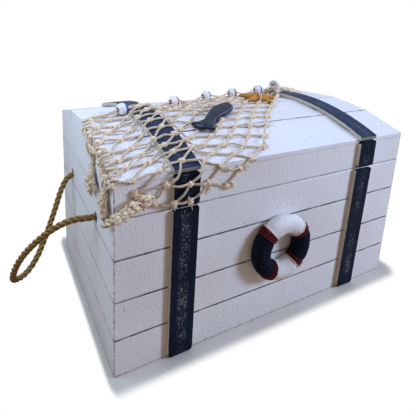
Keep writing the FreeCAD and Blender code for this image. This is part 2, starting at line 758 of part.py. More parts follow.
cord = size("net_cord")
net_mesh_length = 22.4
net_mesh_depth = 16.4
net_lean = -17.2
net_first_knot = (-195.0, 1.8)
net_lift = size("soft_clearance")
strap_bulge = arch_radius * (1 - math.cos(half_facet))
net_over_strap = band_out + strap_bulge + size("seat_clearance") + net_lift
net_over_band = band_out + net_lift
net_ramp = 12.0
net_side = half_length + net_lift + cord
TOP_EDGE = [
    (-210.0, -14.0), (-150.0, 1.0), (-73.0, 24.0), (-10.0, 49.0), (44.0, 60.0),
    (110.0, 61.0), (118.0, 41.0), (91.0, 14.0), (63.0, -13.0), (41.0, -38.0),
    (23.0, -53.0), (8.0, -74.0), (-12.0, -97.0), (-26.0, -116.0), (-48.0, -136.0),
    (-193.0, -136.0), (-210.0, -124.0),
]
FLAP_EDGE = [
    (-46.0, -114.0), (-56.0, -128.0), (-67.0, -136.0), (-78.0, -155.0), (-92.0, -153.0),
    (-106.0, -151.0), (-128.0, -156.0), (-144.0, -156.0), (-158.0, -150.0),
    (-170.0, -141.0), (-186.0, -132.0), (-196.0, -128.0), (-196.0, -114.0),
]


top_edge = [(max(lid_x(x), -net_side), lid_y(y)) for x, y in TOP_EDGE]
flap_edge = [(lid_x(x), lid_y(y)) for x, y in FLAP_EDGE]


def knot_place(column, row):
    x = net_first_knot[0] + net_mesh_length * column + net_lean * row
    return (lid_x(x), lid_y(net_first_knot[1] - net_mesh_depth * row))


def shrunk(loop, margin):
    # a convex or gently bent loop with each side moved inwards
    turn = sum(a[0] * b[1] - b[0] * a[1] for a, b in zip(loop, loop[1:] + loop[:1]))
    side = 1 if turn > 0 else -1
    lines = []
    for a, b in zip(loop, loop[1:] + loop[:1]):
        dx, dy = b[0] - a[0], b[1] - a[1]
        long = math.hypot(dx, dy)
        nx, ny = -side * dy / long, side * dx / long
        lines.append((nx, ny, nx * a[0] + ny * a[1] + margin))
    result = []
    for p, q in zip(lines[-1:] + lines[:-1], lines):
        det = p[0] * q[1] - p[1] * q[0]
        if abs(det) < 0.05:
            result.append(None)
            continue
        result.append(((p[2] * q[1] - p[1] * q[2]) / det, (p[0] * q[2] - p[2] * q[0]) / det))
    for index, point in enumerate(result):
        if point is None:
            base = loop[index]
            nx, ny, _ = lines[index]
            result[index] = (base[0] + nx * margin, base[1] + ny * margin)
    return result


def net_loops(edge, rows, columns, keep_out):
    # the outer loop of a panel and the loops of its gaps
    flat = [Vector(p[0], p[1], 0) for p in shrunk(edge, cord)]
    field = Part.Face(Part.makePolygon(flat + flat[:1]))
    for x, y, half_x, half_y in keep_out:
        corner = [Vector(x - half_x - cord, y - half_y - cord, 0),
                  Vector(x + half_x + cord, y - half_y - cord, 0),
                  Vector(x + half_x + cord, y + half_y + cord, 0),
                  Vector(x - half_x - cord, y + half_y + cord, 0)]
        field = field.cut(Part.Face(Part.makePolygon(corner + corner[:1])))
    cells = []
    for row in rows:
        for column in columns:
            cell = [knot_place(column, row), knot_place(column + 1, row),
                    knot_place(column + 1, row + 1), knot_place(column, row + 1)]
            points = [Vector(p[0], p[1], 0) for p in shrunk(cell, cord / 2)]
            cells.append(Part.Face(Part.makePolygon(points + points[:1])))
    least_gap = cord * cord
    gaps = []
    for face in Part.makeCompound(cells).common(field).Faces:
        if face.Area > least_gap:
            gaps.append([(v.Point.x, v.Point.y) for v in face.OuterWire.OrderedVertexes])
    return gaps


def blanket(heights, start, end):
    # the layer that the net follows: heights are pairs of x and rise
    outline = [Vector(x, start, rise) for x, rise in heights]
    outline += [Vector(x, start, rise + cord) for x, rise in reversed(heights)]
    return Part.Face(Part.makePolygon(outline + outline[:1])).extrude(Vector(0, end - start, 0))


def over_layer(heights, start, end):
    # everything beyond the outer face of the layer
    far = 4 * band
    outline = [Vector(x, start, rise + cord) for x, rise in heights]
    outline += [Vector(heights[-1][0], start, far), Vector(heights[0][0], start, far)]
    return Part.Face(Part.makePolygon(outline + outline[:1])).extrude(Vector(0, end - start, 0))


left_edge = left_band_x - band / 2 - net_lift
right_edge = left_band_x + band / 2 + net_lift
right_edge_two = right_lid_band_x - band / 2 - net_lift


def layer_heights(rise):
    return [
        (-net_side, net_lift), (left_edge - net_ramp, net_lift), (left_edge, rise),
        (right_edge, rise), (right_edge + net_ramp, net_lift),
        (right_edge_two - net_ramp, net_lift), (right_edge_two, rise),
        (right_edge_two + band, rise),
    ]


top_heights = layer_heights(net_over_strap)
flap_heights = layer_heights(net_over_band)
BEAD_CENTRES = [(-151.5, 3.0), (-73.5, 26.5), (-10.0, 52.0), (42.0, 62.0), (90.0, 60.0)]
bead_centres = [(lid_x(x), lid_y(y)) for x, y in BEAD_CENTRES]
bead_turns = [16.7, 19.0, 17.0, 5.5, 0.0]
bead_colours = ["blue", "maroon", "blue", "maroon", "blue"]
bead_radius = size("bead_diameter") / 2
bead_half = size("bead_length") / 2
raised_bead = len(bead_centres) - 1
recess = [(x, y, bead_half + 2 * net_lift + cord / 2, bead_radius + net_lift)
          for x, y in bead_centres[:raised_bead]]


def redrawn(face, placing):
    # the same holed face with each corner placed anew
    wires = []
    for wire in [face.OuterWire] + [w for w in face.Wires if not w.isSame(face.OuterWire)]:
        points = []
        for vertex in wire.OrderedVertexes:
            x, y = placing(vertex.Point.x, vertex.Point.y)
            points.append(Vector(x, y, 0))
        wires.append(Part.makePolygon(points + points[:1]))
    return Part.Face(wires)


tall = 2 * band
overlap = net_lift
top_gaps = net_loops(top_edge, range(-5, 10), range(-6, 23), recess)
edge_face = Part.Face(Part.makePolygon([Vector(p[0], p[1], 0) for p in top_edge + top_edge[:1]]))
for x, y, half_x, half_y in recess:
    block = Part.makeBox(2 * half_x, 2 * half_y, 2 * tall, Vector(x - half_x, y - half_y, -tall))
    edge_face = edge_face.cut(block)
gap_faces = [Part.Face(Part.makePolygon([Vector(p[0], p[1], 0) for p in gap + gap[:1]]))
             for gap in top_gaps]
top_face = edge_face.cut(Part.makeCompound(gap_faces))
top_net = max(top_face.Faces, key=lambda face: face.Area)
print("net over the lid: %d gaps" % len(top_gaps))
strips = []
for step in range(stave_count - 1):
    near_y = arch_point(arch_angles[step], arch_radius)[0]
    far_y = arch_point(arch_angles[step + 1], arch_radius)[0]
    slope = (arch_angles[step] + arch_angles[step + 1]) / 2
    stretch = 1 / math.cos(slope)
    frame = slope_frame(step)
    sheet_face = redrawn(top_net, lambda x, y: (x, (y - near_y) * stretch))
    start = -band if step == 0 else -overlap
    end = (far_y - near_y) * stretch + overlap
    strip = sheet_face.extrude(Vector(0, 0, tall)).common(blanket(top_heights, start, end))
    if step == 0:
        front_block = over_layer(flap_heights, -band, band)
        front_block.Placement = frame.inverse().multiply(eaves_front)
        strip = strip.cut(front_block)
    strip.Placement = frame.multiply(strip.Placement)
    strips.append(strip)

# The flap of the net down the front of the lid
flap_gaps = net_loops(flap_edge, range(6, 11), range(2, 17), [])
flap_face = Part.Face(Part.makePolygon([Vector(p[0], p[1], 0) for p in flap_edge + flap_edge[:1]]))
gap_faces = [Part.Face(Part.makePolygon([Vector(p[0], p[1], 0) for p in gap + gap[:1]]))
             for gap in flap_gaps]
flap_face = flap_face.cut(Part.makeCompound(gap_faces))
flap_net = max(flap_face.Faces, key=lambda face: face.Area)
flap_net = redrawn(flap_net, lambda x, y: (x, y + half_depth))
flap = flap_net.extrude(Vector(0, 0, tall)).common(blanket(flap_heights, -2 * band, band))
top_block = over_layer(top_heights, -band, band)
top_block.Placement = eaves_front.inverse().multiply(slope_frame(0))
flap = flap.cut(top_block)
flap.Placement = eaves_front
print("net down the front: %d gaps" % len(flap_gaps))


def eaves_line(y):
    # height of the lid's edge over a place on its end face
    step, up = slope_place(y)
    return slope_frame(step).multVec(Vector(0, up, 0)).z


# Two lobes of the net hang over the left end and draw together into tassels
LOBES = [
    # top back y, top front y, bottom back and bottom front (y, height below the eaves)
    (-15.0, -63.0, (-40.0, -15.0), (-58.0, -17.0)),
    (-67.0, -120.0, (-84.0, -23.0), (-109.0, -27.0)),
]
lobe_columns = 3
lobe_rows = 3


def lobe_panel(lobe):
    back, front = lid_y(lobe[0]), lid_y(lobe[1])
    low_back, low_front = [(lid_y(y), eaves + drop) for y, drop in lobe[2:]]
    top_rise = cord + net_lift / 2

    def place(across, down):
        y = back + (front - back) * across
        top = (y, eaves_line(y) + top_rise)
        low = (low_back[0] + (low_front[0] - low_back[0]) * across,
               low_back[1] + (low_front[1] - low_back[1]) * across)
        return (top[0] + (low[0] - top[0]) * down, top[1] + (low[1] - top[1]) * down)

    steps = [index / lobe_columns for index in range(lobe_columns + 1)]
    outer = [place(share, 0) for share in steps] + [place(share, 1) for share in reversed(steps)]
    holes = []
    for row in range(lobe_rows):
        for column in range(lobe_columns):
            cell = [place(column / lobe_columns, row / lobe_rows),
                    place((column + 1) / lobe_columns, row / lobe_rows),
                    place((column + 1) / lobe_columns, (row + 1) / lobe_rows),
                    place(column / lobe_columns, (row + 1) / lobe_rows)]
            margin = cord if min(row, column) == 0 or column == lobe_columns - 1 else cord / 2
            hole = shrunk(cell, margin)
            if min(math.dist(hole[0], hole[1]), math.dist(hole[2], hole[3])) > cord:
                holes.append(prism([hole], cord))
    panel = prism([outer], cord).cut(Part.makeCompound(holes))
    panel.Placement = Placement(Vector(-net_side, 0, 0), Rotation(Y_AXIS, 90) * Rotation(Z_AXIS, 90))
    return panel


lobes = [lobe_panel(lobe) for lobe in LOBES]
net = strips[0].multiFuse(strips[1:] + [flap] + lobes)
print("net: %d solid(s), volume %.0f mm3" % (len(net.Solids), net.Volume))
net_piece = doc.addObject("Part::Feature", "net_sheet")
net_piece.Shape = net
keep(net_piece, "fishing_net")

# Tassels where the lobes' strands are gathered below the lobes
# Each has a middle, and from the top down its levels below the eaves and half widths.
TASSEL_MIDDLES = [-50.0, -95.0]
TASSEL_LEVELS = [[-17.5, -26.0, -34.0, -42.0], [-27.5, -33.0, -39.0, -44.5]]
TASSEL_HALF_WIDTHS = [[8.0, 6.0, 8.0, 9.5], [12.0, 9.0, 10.0, 11.0]]
tassel_thickness = 5.0
tassel_x = -half_length - net_lift - tassel_thickness / 2
tassels = []
for middle, levels, half_widths in zip(TASSEL_MIDDLES, TASSEL_LEVELS, TASSEL_HALF_WIDTHS):
    sections = []
    for level, half in zip(levels, half_widths):
        turned = Part.Ellipse(Vector(0, 0, 0), half, tassel_thickness / 2).toShape()
        turned.Placement = Placement(Vector(tassel_x, lid_y(middle), eaves + level),
                                     Rotation(Z_AXIS, 90))
        sections.append(Part.Wire([turned]))
    tassels.append(Part.makeLoft(sections, True, False))
tassel_piece = doc.addObject("Part::Feature", "tassel_pair")
tassel_piece.Shape = Part.makeCompound(tassels)
keep(tassel_piece, "net_end_tassels")

# The net's lower corner twisted into a roll that runs round the front corner
roll_radius = 4.8
# The route from the front face to the left end, from the lid's lower front corner
ROLL_ROUTE = [
    (46.0, -5.1, 7.5),
    (32.0, -5.1, 15.0),
    (17.0, -5.6, 14.0),
    (3.5, -6.6, 6.5),
    (-6.7, -5.3, -1.5),
    (-6.9, 7.4, -10.0),
    (-5.6, 22.4, -18.0),
]
roll_route = [(x - half_length, y - half_depth, z + lid_start) for x, y, z in ROLL_ROUTE]
roll_wire = rope_wire(roll_route, "net roll")
roll = ball_ended(tube_on(roll_wire, roll_radius), [Vector(*roll_route[0]), Vector(*roll_route[-1])],
                  roll_radius)
roll_piece = doc.addObject("Part::Feature", "roll_form")
roll_piece.Shape = roll
keep(roll_piece, "net_front_roll")

# Wooden beads on a cord along the back edge of the net
bead_rise = bead_radius + size("seat_clearance")
bead_places = []
colours = {"blue": [], "maroon": []}
bore_radius = size("bead_hole") / 2
bead_rim = math.sqrt(bead_radius ** 2 - bead_half ** 2)
bead_profile = Part.Wire([
    Part.Arc(Vector(-bead_half, bead_rim, 0), Vector(0, bead_radius, 0),
             Vector(bead_half, bead_rim, 0)).toShape(),
    Part.LineSegment(Vector(bead_half, bead_rim, 0), Vector(bead_half, bore_radius, 0)).toShape(),
    Part.LineSegment(Vector(bead_half, bore_radius, 0), Vector(-bead_half, bore_radius, 0)).toShape(),
    Part.LineSegment(Vector(-bead_half, bore_radius, 0), Vector(-bead_half, bead_rim, 0)).toShape(),
])
bead_form = Part.Face(bead_profile).revolve(Vector(0, 0, 0), X_AXIS, 360)
for index, (x, y) in enumerate(bead_centres):
    turn = bead_turns[index]
    colour = bead_colours[index]
    rise = bead_rise + (net_lift + cord if index == raised_bead else 0)
    centre = on_lid(x, y, rise)
    bead_places.append((centre, turn))
    bead = bead_form.copy()
    bead.Placement = Placement(centre, Rotation(Z_AXIS, turn))
    colours[colour].append(bead)
for colour, beads in colours.items():
    piece = doc.addObject("Part::Feature", colour + "_bead_set")
    piece.Shape = Part.makeCompound(beads)
    keep(piece, colour + "_striped_beads")

# The bead cord runs straight through each bead and dips between them
cord_radius = size("bead_cord") / 2
cord_low = net_lift + cord + net_lift + cord_radius
cord_over_strap = net_over_strap + cord_radius
bead_cord_lead = 4.0
cord_slack = 1.0
bead_reach = bead_half + bead_cord_lead
# places (x, y) and rise of the cord before the first bead and after the last one
CORD_START = [(-193.0, -7.5, cord_low), (-176.0, -4.0, cord_low)]
CORD_END = [
    (120.0, 60.5, cord_over_strap + cord_slack),
    (146.0, 61.0, cord_over_strap),
    (166.0, 60.0, cord_radius + cord_slack),
    (184.0, 60.5, cord_radius + net_lift),
]
route = [tuple(on_lid(lid_x(x), lid_y(y), rise)) for x, y, rise in CORD_START]
for centre, turn in bead_places:
    ahead = Vector(math.cos(math.radians(turn)), math.sin(math.radians(turn)), 0)
    route.append(tuple(centre - ahead * bead_reach))
    route.append(tuple(centre + ahead * bead_reach))
route += [tuple(on_lid(lid_x(x), lid_y(y), rise)) for x, y, rise in CORD_END]
bead_wire = rope_wire(route, "bead cord")
bead_string = tube_on(bead_wire, cord_radius)
string_piece = doc.addObject("Part::Feature", "bead_string")
string_piece.Shape = bead_string
keep(string_piece, "bead_cord")

# Painted wooden fish, flat on the net on the second slope
FISH_OUTLINE = [
    (-92.0, -61.0), (-89.5, -63.0), (-86.7, -69.8), (-79.9, -71.1), (-76.5, -74.1),
    (-70.9, -78.6), (-66.5, -71.0), (-62.7, -64.4), (-55.4, -55.3), (-42.6, -45.2),
    (-29.6, -38.1), (-18.5, -29.5), (-11.0, -22.0), (-7.0, -12.5), (-7.4, -5.3),
    (-14.5, -3.8), (-27.3, -9.3), (-41.6, -18.3), (-56.1, -34.0), (-68.4, -48.8),
    (-78.0, -55.5), (-86.4, -58.6),
]
fish_middle = (-50.0, -50.0)
fish_shift_x = lid_x(fish_middle[0]) - fish_middle[0]
fish_shift_y = lid_y(fish_middle[1]) - fish_middle[1]
second_near = arch_point(arch_angles[1], arch_radius)[0]
second_stretch = 1 / math.cos((arch_angles[1] + arch_angles[2]) / 2)
plaque_rise = net_lift + cord + net_lift


def plaque(outline, thickness, edge, crest):
    # a flat figure with a chamfered top edge, or a crest drawn to the inner loop
    low = [Vector(x, y, 0) for x, y in outline]
    waist = [Vector(x, y, thickness - edge) for x, y in outline]
    top = [Vector(x, y, thickness) for x, y in crest]
    faces = []
    rings = [low, waist, top]
    for under, over in zip(rings, rings[1:]):
        count = len(under)
        for index in range(count):
            a, b = under[index], under[(index + 1) % count]
            c, d = over[(index + 1) % count], over[index]
            if abs((b - a).cross(c - a).dot(d - a)) < 1e-7:
                faces.append(Part.Face(Part.makePolygon([a, b, c, d, a])))
            else:
                faces.append(Part.Face(Part.makePolygon([a, b, c, a])))
                faces.append(Part.Face(Part.makePolygon([a, c, d, a])))
    faces.append(Part.Face(Part.makePolygon(low + low[:1])))
    faces.append(Part.Face(Part.makePolygon(top + top[:1])))
    return Part.Solid(Part.makeShell(faces))


fish_loop = [(x + fish_shift_x, (y + fish_shift_y - second_near) * second_stretch)
             for x, y in FISH_OUTLINE]
fish_top = shrunk(fish_loop, size("fish_edge"))
fish = plaque(fish_loop, size("fish_thickness"), size("fish_edge"), fish_top)
fish.Placement = slope_frame(1).multiply(Placement(Vector(0, 0, plaque_rise), Rotation()))
fish_piece = doc.addObject("Part::Feature", "fish_form")
fish_piece.Shape = fish
keep(fish_piece, "wooden_fish")

# Starfish on the third slope, tied to the net by one thread
star_place = (lid_x(61.5), 20.0)
star_turn = 277.0
star_arms = 5
star_crest_tip_share = 0.72
star_crest_waist_share = 0.42
star_outline = []
star_crest_loop = []
for index in range(2 * star_arms):
    turn = math.radians(star_turn + 180.0 / star_arms * index)
    reach = size("star_radius") if index % 2 == 0 else size("star_waist")
    inner = reach * (star_crest_tip_share if index % 2 == 0 else star_crest_waist_share)
    star_outline.append((star_place[0] + reach * math.cos(turn), star_place[1] + reach * math.sin(turn)))
    star_crest_loop.append((star_place[0] + inner * math.cos(turn), star_place[1] + inner * math.sin(turn)))
star = plaque(star_outline, size("star_thickness"), size("star_crest"), star_crest_loop)
star.Placement = slope_frame(2).multiply(Placement(Vector(0, 0, plaque_rise), Rotation()))
star_piece = doc.addObject("Part::Feature", "star_form")
star_piece.Shape = star
keep(star_piece, "starfish")
tie_width = 3.0
tie_length = 20.0
tie_thickness = 1.2
tie = Part.makeBox(tie_width, tie_length, tie_thickness,
                   Vector(star_place[0] - tie_width / 2, star_place[1] - tie_length / 2,
                          plaque_rise + size("star_thickness") + size("seat_clearance")))
tie.Placement = slope_frame(2)
tie_piece = doc.addObject("Part::Feature", "tie_form")
tie_piece.Shape = tie
keep(tie_piece, "starfish_tie")

# A small sea shell that rests on the net's corner where the net climbs the right band
shell_place = (right_lid_band_x - band / 2 - net_lift, 50.0)
shell_half_length = 10.0
shell_half_width = 6.5
shell_half_height = 8.0
shell_step, shell_up = slope_place(lid_y(shell_place[1]))
shell = doc.addObject("Part::Ellipsoid", "shell_form")
shell.Radius1 = shell_half_height
shell.Radius2 = shell_half_length
shell.Radius3 = shell_half_width
shell_rise = net_over_strap + cord + net_lift + shell_half_height
shell.Placement = slope_frame(shell_step).multiply(
    Placement(Vector(shell_place[0], shell_up, shell_rise), Rotation()))
keep(shell, "sea_shell")

doc.recompute()
os.makedirs("parts", exist_ok=True)
for piece in parts:
    if "Invalid" in piece.State or "Error" in piece.State:
        raise RuntimeError("%s did not build" % piece.Label)
    if piece.Shape.isNull() or not piece.Shape.isValid():
        raise RuntimeError("%s has no valid shape" % piece.Label)
for piece in parts:
    piece.Shape.exportStep("parts/%s.step" % piece.Label)
print("%d nodes written" % len(parts))
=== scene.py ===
import math
import bpy
import numpy as np
from mathutils import Matrix, Vector


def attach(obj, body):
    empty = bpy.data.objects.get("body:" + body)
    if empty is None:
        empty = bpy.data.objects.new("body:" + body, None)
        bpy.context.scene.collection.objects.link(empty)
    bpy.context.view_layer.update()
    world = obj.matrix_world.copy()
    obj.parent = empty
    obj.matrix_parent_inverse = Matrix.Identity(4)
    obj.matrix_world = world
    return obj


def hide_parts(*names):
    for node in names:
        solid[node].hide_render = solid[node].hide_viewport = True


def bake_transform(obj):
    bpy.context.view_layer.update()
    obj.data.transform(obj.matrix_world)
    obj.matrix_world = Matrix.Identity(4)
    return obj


# A small wooden chest in seaside style: white planks, navy slats, an arched lid with a
# cotton net and trinkets over it, a felt life ring on the front and jute rope handles.
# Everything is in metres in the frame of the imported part.
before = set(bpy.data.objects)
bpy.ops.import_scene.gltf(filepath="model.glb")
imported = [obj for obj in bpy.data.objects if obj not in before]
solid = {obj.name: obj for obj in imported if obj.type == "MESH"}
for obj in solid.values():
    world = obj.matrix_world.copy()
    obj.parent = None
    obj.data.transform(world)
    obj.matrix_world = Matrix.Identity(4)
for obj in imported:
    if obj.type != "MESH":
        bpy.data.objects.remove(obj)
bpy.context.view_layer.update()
scene = bpy.context.scene

# The view: the chest is seen from its left front corner and from a little above the lid.
# The eye, the camera's three directions and its lens fit the photograph.
eye = (-0.29245, -0.44477, 0.37047)
to_right = (0.86687, -0.49536, 0.05615)
upward = (0.06886, 0.23052, 0.97063)
ahead = (0.49375, 0.83754, -0.23394)
camera_lens = bpy.data.cameras.new("view")
camera_lens.sensor_width = 36.0
camera_lens.lens = 34.382
camera_lens.shift_x = -0.0096
camera_lens.shift_y = -0.2596
camera = bpy.data.objects.new("view", camera_lens)
columns = np.array([to_right, upward, [-part for part in ahead], eye]).T
camera.matrix_world = Matrix(np.vstack([columns, [0, 0, 0, 1]]).tolist())
scene.collection.objects.link(camera)
scene.camera = camera
scene.view_settings.view_transform = "Standard"

# The light: a cool lamp high above the lid, a small one near the left end, a window lamp on
# the right that rakes the front, and a faint warm fill, so that the shadows turn brown.
CHEST_MIDDLE = (0.0, 0.0, 0.12)


def softbox(name, width, power, colour, place):
    """A square lamp at a place, turned towards the chest's middle."""
    lamp = bpy.data.lights.new(name, "AREA")
    lamp.size = width
    lamp.energy = power
    lamp.color = colour
    box = bpy.data.objects.new(name, lamp)
    box.location = place
    heading = Vector(CHEST_MIDDLE) - Vector(place)
    box.rotation_euler = heading.to_track_quat("-Z", "Y").to_euler()
    scene.collection.objects.link(box)


softbox("sky_lamp", 0.45, 9.0, (0.62, 0.73, 1.0), (-0.06, 0.08, 1.45))
softbox("corner_lamp", 0.30, 1.05, (0.57, 0.78, 1.0), (-0.44, -0.02, 0.42))
softbox("window_lamp", 0.38, 17.0, (0.61, 0.74, 1.0), (1.05, -1.05, 0.72))
softbox("warm_fill", 1.2, 1.5, (1.0, 0.64, 0.34), (-0.6, -1.4, 0.60))


class Wire:
    """An output of a node in a material. Sums, products and the like with other wires or numbers
    add Math nodes, and node() adds any other kind."""

    def __init__(self, tree, socket=None):
        self.tree = tree
        self.socket = socket

    def node(self, kind, sockets, output=0, stops=(), **settings):
        """Adds a node: its settings and its ramp's stops first, then its sockets by number."""
        made = self.tree.nodes.new(kind)
        for name, value in settings.items():
            setattr(made, name, value)
        for place, colour in stops[2:]:
            made.color_ramp.elements.new(place)
        for element, (place, colour) in zip(made.color_ramp.elements if stops else (), stops):
            element.position = place
            element.color = colour
        for key, value in sockets.items():
            if isinstance(value, Wire):
                self.tree.links.new(value.socket, made.inputs[key])
            else:
                made.inputs[key].default_value = value
        return Wire(self.tree, made.outputs[output])

    def math(self, operation, *others):
        """A Math node on this wire and others or numbers."""
        sockets = dict(enumerate((self,) + others))
        return self.node("ShaderNodeMath", sockets, operation=operation)

    def __add__(self, other):
        return self.math("ADD", other)

    def __radd__(self, other):
        return self.math("ADD", other)

    def __sub__(self, other):
        return self.math("SUBTRACT", other)

    def __rsub__(self, other):
        return self.node("ShaderNodeMath", {0: other, 1: self}, operation="SUBTRACT")

    def __mul__(self, other):
        return self.math("MULTIPLY", other)

    def __rmul__(self, other):
        return self.math("MULTIPLY", other)

    def __abs__(self):
        return self.math("ABSOLUTE")


def paint_tone(red, green, blue):
    """A colour from its everyday 0 to 255 values, as the linear light that a shader takes."""
    share = np.array([red, green, blue]) / 255
    linear = np.where(share < 0.04045, share / 12.92, ((share + 0.055) / 1.055) ** 2.4)
    return tuple(linear.tolist()) + (1.0,)


def fresh_material(name):
    """A new material, each point's place in metres in the piece's own frame, and the shader's sockets."""
    material = bpy.data.materials.new(name)
    material.use_nodes = True
    tree = material.node_tree
    place = Wire(tree).node("ShaderNodeTexCoord", {}, output=3)
    return material, place, tree.nodes["Principled BSDF"].inputs


def feed(socket, wire):
    """Links a wire into one of a shader's sockets."""
    wire.tree.links.new(wire.socket, socket)


def ramped(wire, start, end):
    """0 before start, 1 after end, smooth between them; start may be the larger one."""
    return wire.node("ShaderNodeMapRange", {0: wire, 1: start, 2: end, 3: 0.0, 4: 1.0},
                     interpolation_type="SMOOTHSTEP")


def mixed(share, under, over):
    """One colour laid over another by a share from 0 to 1."""
    return share.node("ShaderNodeMix", {0: share, 6: under, 7: over}, output=2, data_type="RGBA")


def apart(place):
    """The three coordinates of a place."""
    return [place.node("ShaderNodeSeparateXYZ", {0: place}, output=axis) for axis in range(3)]


def stretched(place, scale):
    """A place with each coordinate times its own scale."""
    return place.node("ShaderNodeMapping", {0: place, 3: scale})


def cloudy(place, scale, detail=3.0, roughness=0.5):
    """Soft noise, about scale patches to the metre."""
    return place.node("ShaderNodeTexNoise", {0: place, 2: scale, 3: detail, 4: roughness})


def bumped(height, depth, strength=1.0):
    """The normal of a surface raised by a height of 0 to 1 times a depth in metres."""
    return height.node("ShaderNodeBump", {0: strength, 1: depth, 3: height})


def ray_to_eye(wire):
    """The sum of three marks that are 1 for a ray from the camera, a mirrored one and one let through."""
    direct, mirrored, through = [wire.node("ShaderNodeLightPath", {}, output=kind) for kind in (0, 3, 6)]
    return direct + mirrored + through


# The floor: a wide pale board that fades into the white of the background. Seen directly,
# part of its light is its own white, so that the chest's shadow stays soft and grey.
floor_reach = 6.0
HALF_LENGTH = 0.2
HALF_DEPTH = 0.126
floor_mesh = bpy.data.meshes.new("floor")
floor_corners = [(-floor_reach, -floor_reach, 0), (floor_reach, -floor_reach, 0),
                 (floor_reach, floor_reach, 0), (-floor_reach, floor_reach, 0)]
floor_mesh.from_pydata(floor_corners, [], [(0, 1, 2, 3)])
floor = bpy.data.objects.new("floor", floor_mesh)
scene.collection.objects.link(floor)
floor_material, place, board = fresh_material("pale_floor")
to_eye = ray_to_eye(place)
speckle = cloudy(place, 60.0)
pale = mixed(speckle, paint_tone(219, 215, 209), paint_tone(226, 222, 216))
feed(board["Base Color"], mixed(to_eye, paint_tone(150, 124, 98), pale))
board["Roughness"].default_value = 0.9
board["Specular IOR Level"].default_value = 0.1
across, along, height = apart(place)
past_side = (across - HALF_LENGTH).math("MAXIMUM", (across + HALF_LENGTH) * -3.0).math("MAXIMUM", 0.0)
past_front = (abs(along) - HALF_DEPTH).math("MAXIMUM", 0.0)
distance = (past_side * past_side + past_front * past_front).math("SQRT")
own_white = to_eye * ramped(distance, 0.013, 0.027)
glow = place.node("ShaderNodeEmission", {0: (1.0, 1.0, 1.0, 1.0), 1: 1.0})
tree = floor_material.node_tree
board_output = Wire(tree, tree.nodes["Principled BSDF"].outputs[0])
both = place.node("ShaderNodeMixShader", {0: own_white, 1: board_output, 2: glow})
feed(tree.nodes["Material Output"].inputs[0], both)
floor_mesh.materials.append(floor_material)

# The surroundings: plain white where they are seen, and a dim even light on the chest.
world = bpy.data.worlds.new("surroundings")
world.use_nodes = True
scene.world = world
sky = Wire(world.node_tree)
background = world.node_tree.nodes["Background"].inputs
ambient = 0.16
backdrop_share = ray_to_eye(sky)
strength = ramped(backdrop_share, 0.0, 1.0) * (1.0 - ambient) + ambient
feed(background["Strength"], strength)
feed(background["Color"], mixed(backdrop_share, (1.0, 0.87, 0.75, 1.0), (1.0, 1.0, 1.0, 1.0)))

# Boards of the body and lid: softwood with one brushed coat of matte white. The paint is
# rubbed through to brown wood along the four upright corners and thin at the open joints.
ROW_LEVELS = (0.0435, 0.087, 0.133, 0.1752)
white_coat = paint_tone(236, 238, 245)
thin_coat = paint_tone(222, 220, 221)
bare_brown = paint_tone(120, 92, 70)
joint_brown = paint_tone(70, 58, 52)
STAVE_JOINTS = (-0.06391, 0.0, 0.06391)
STAVE_EDGE = (0.2138, 0.2152)
LEANING_FOOT = 0.12236
SLAT_LEAN = math.tan(math.radians(1.6))


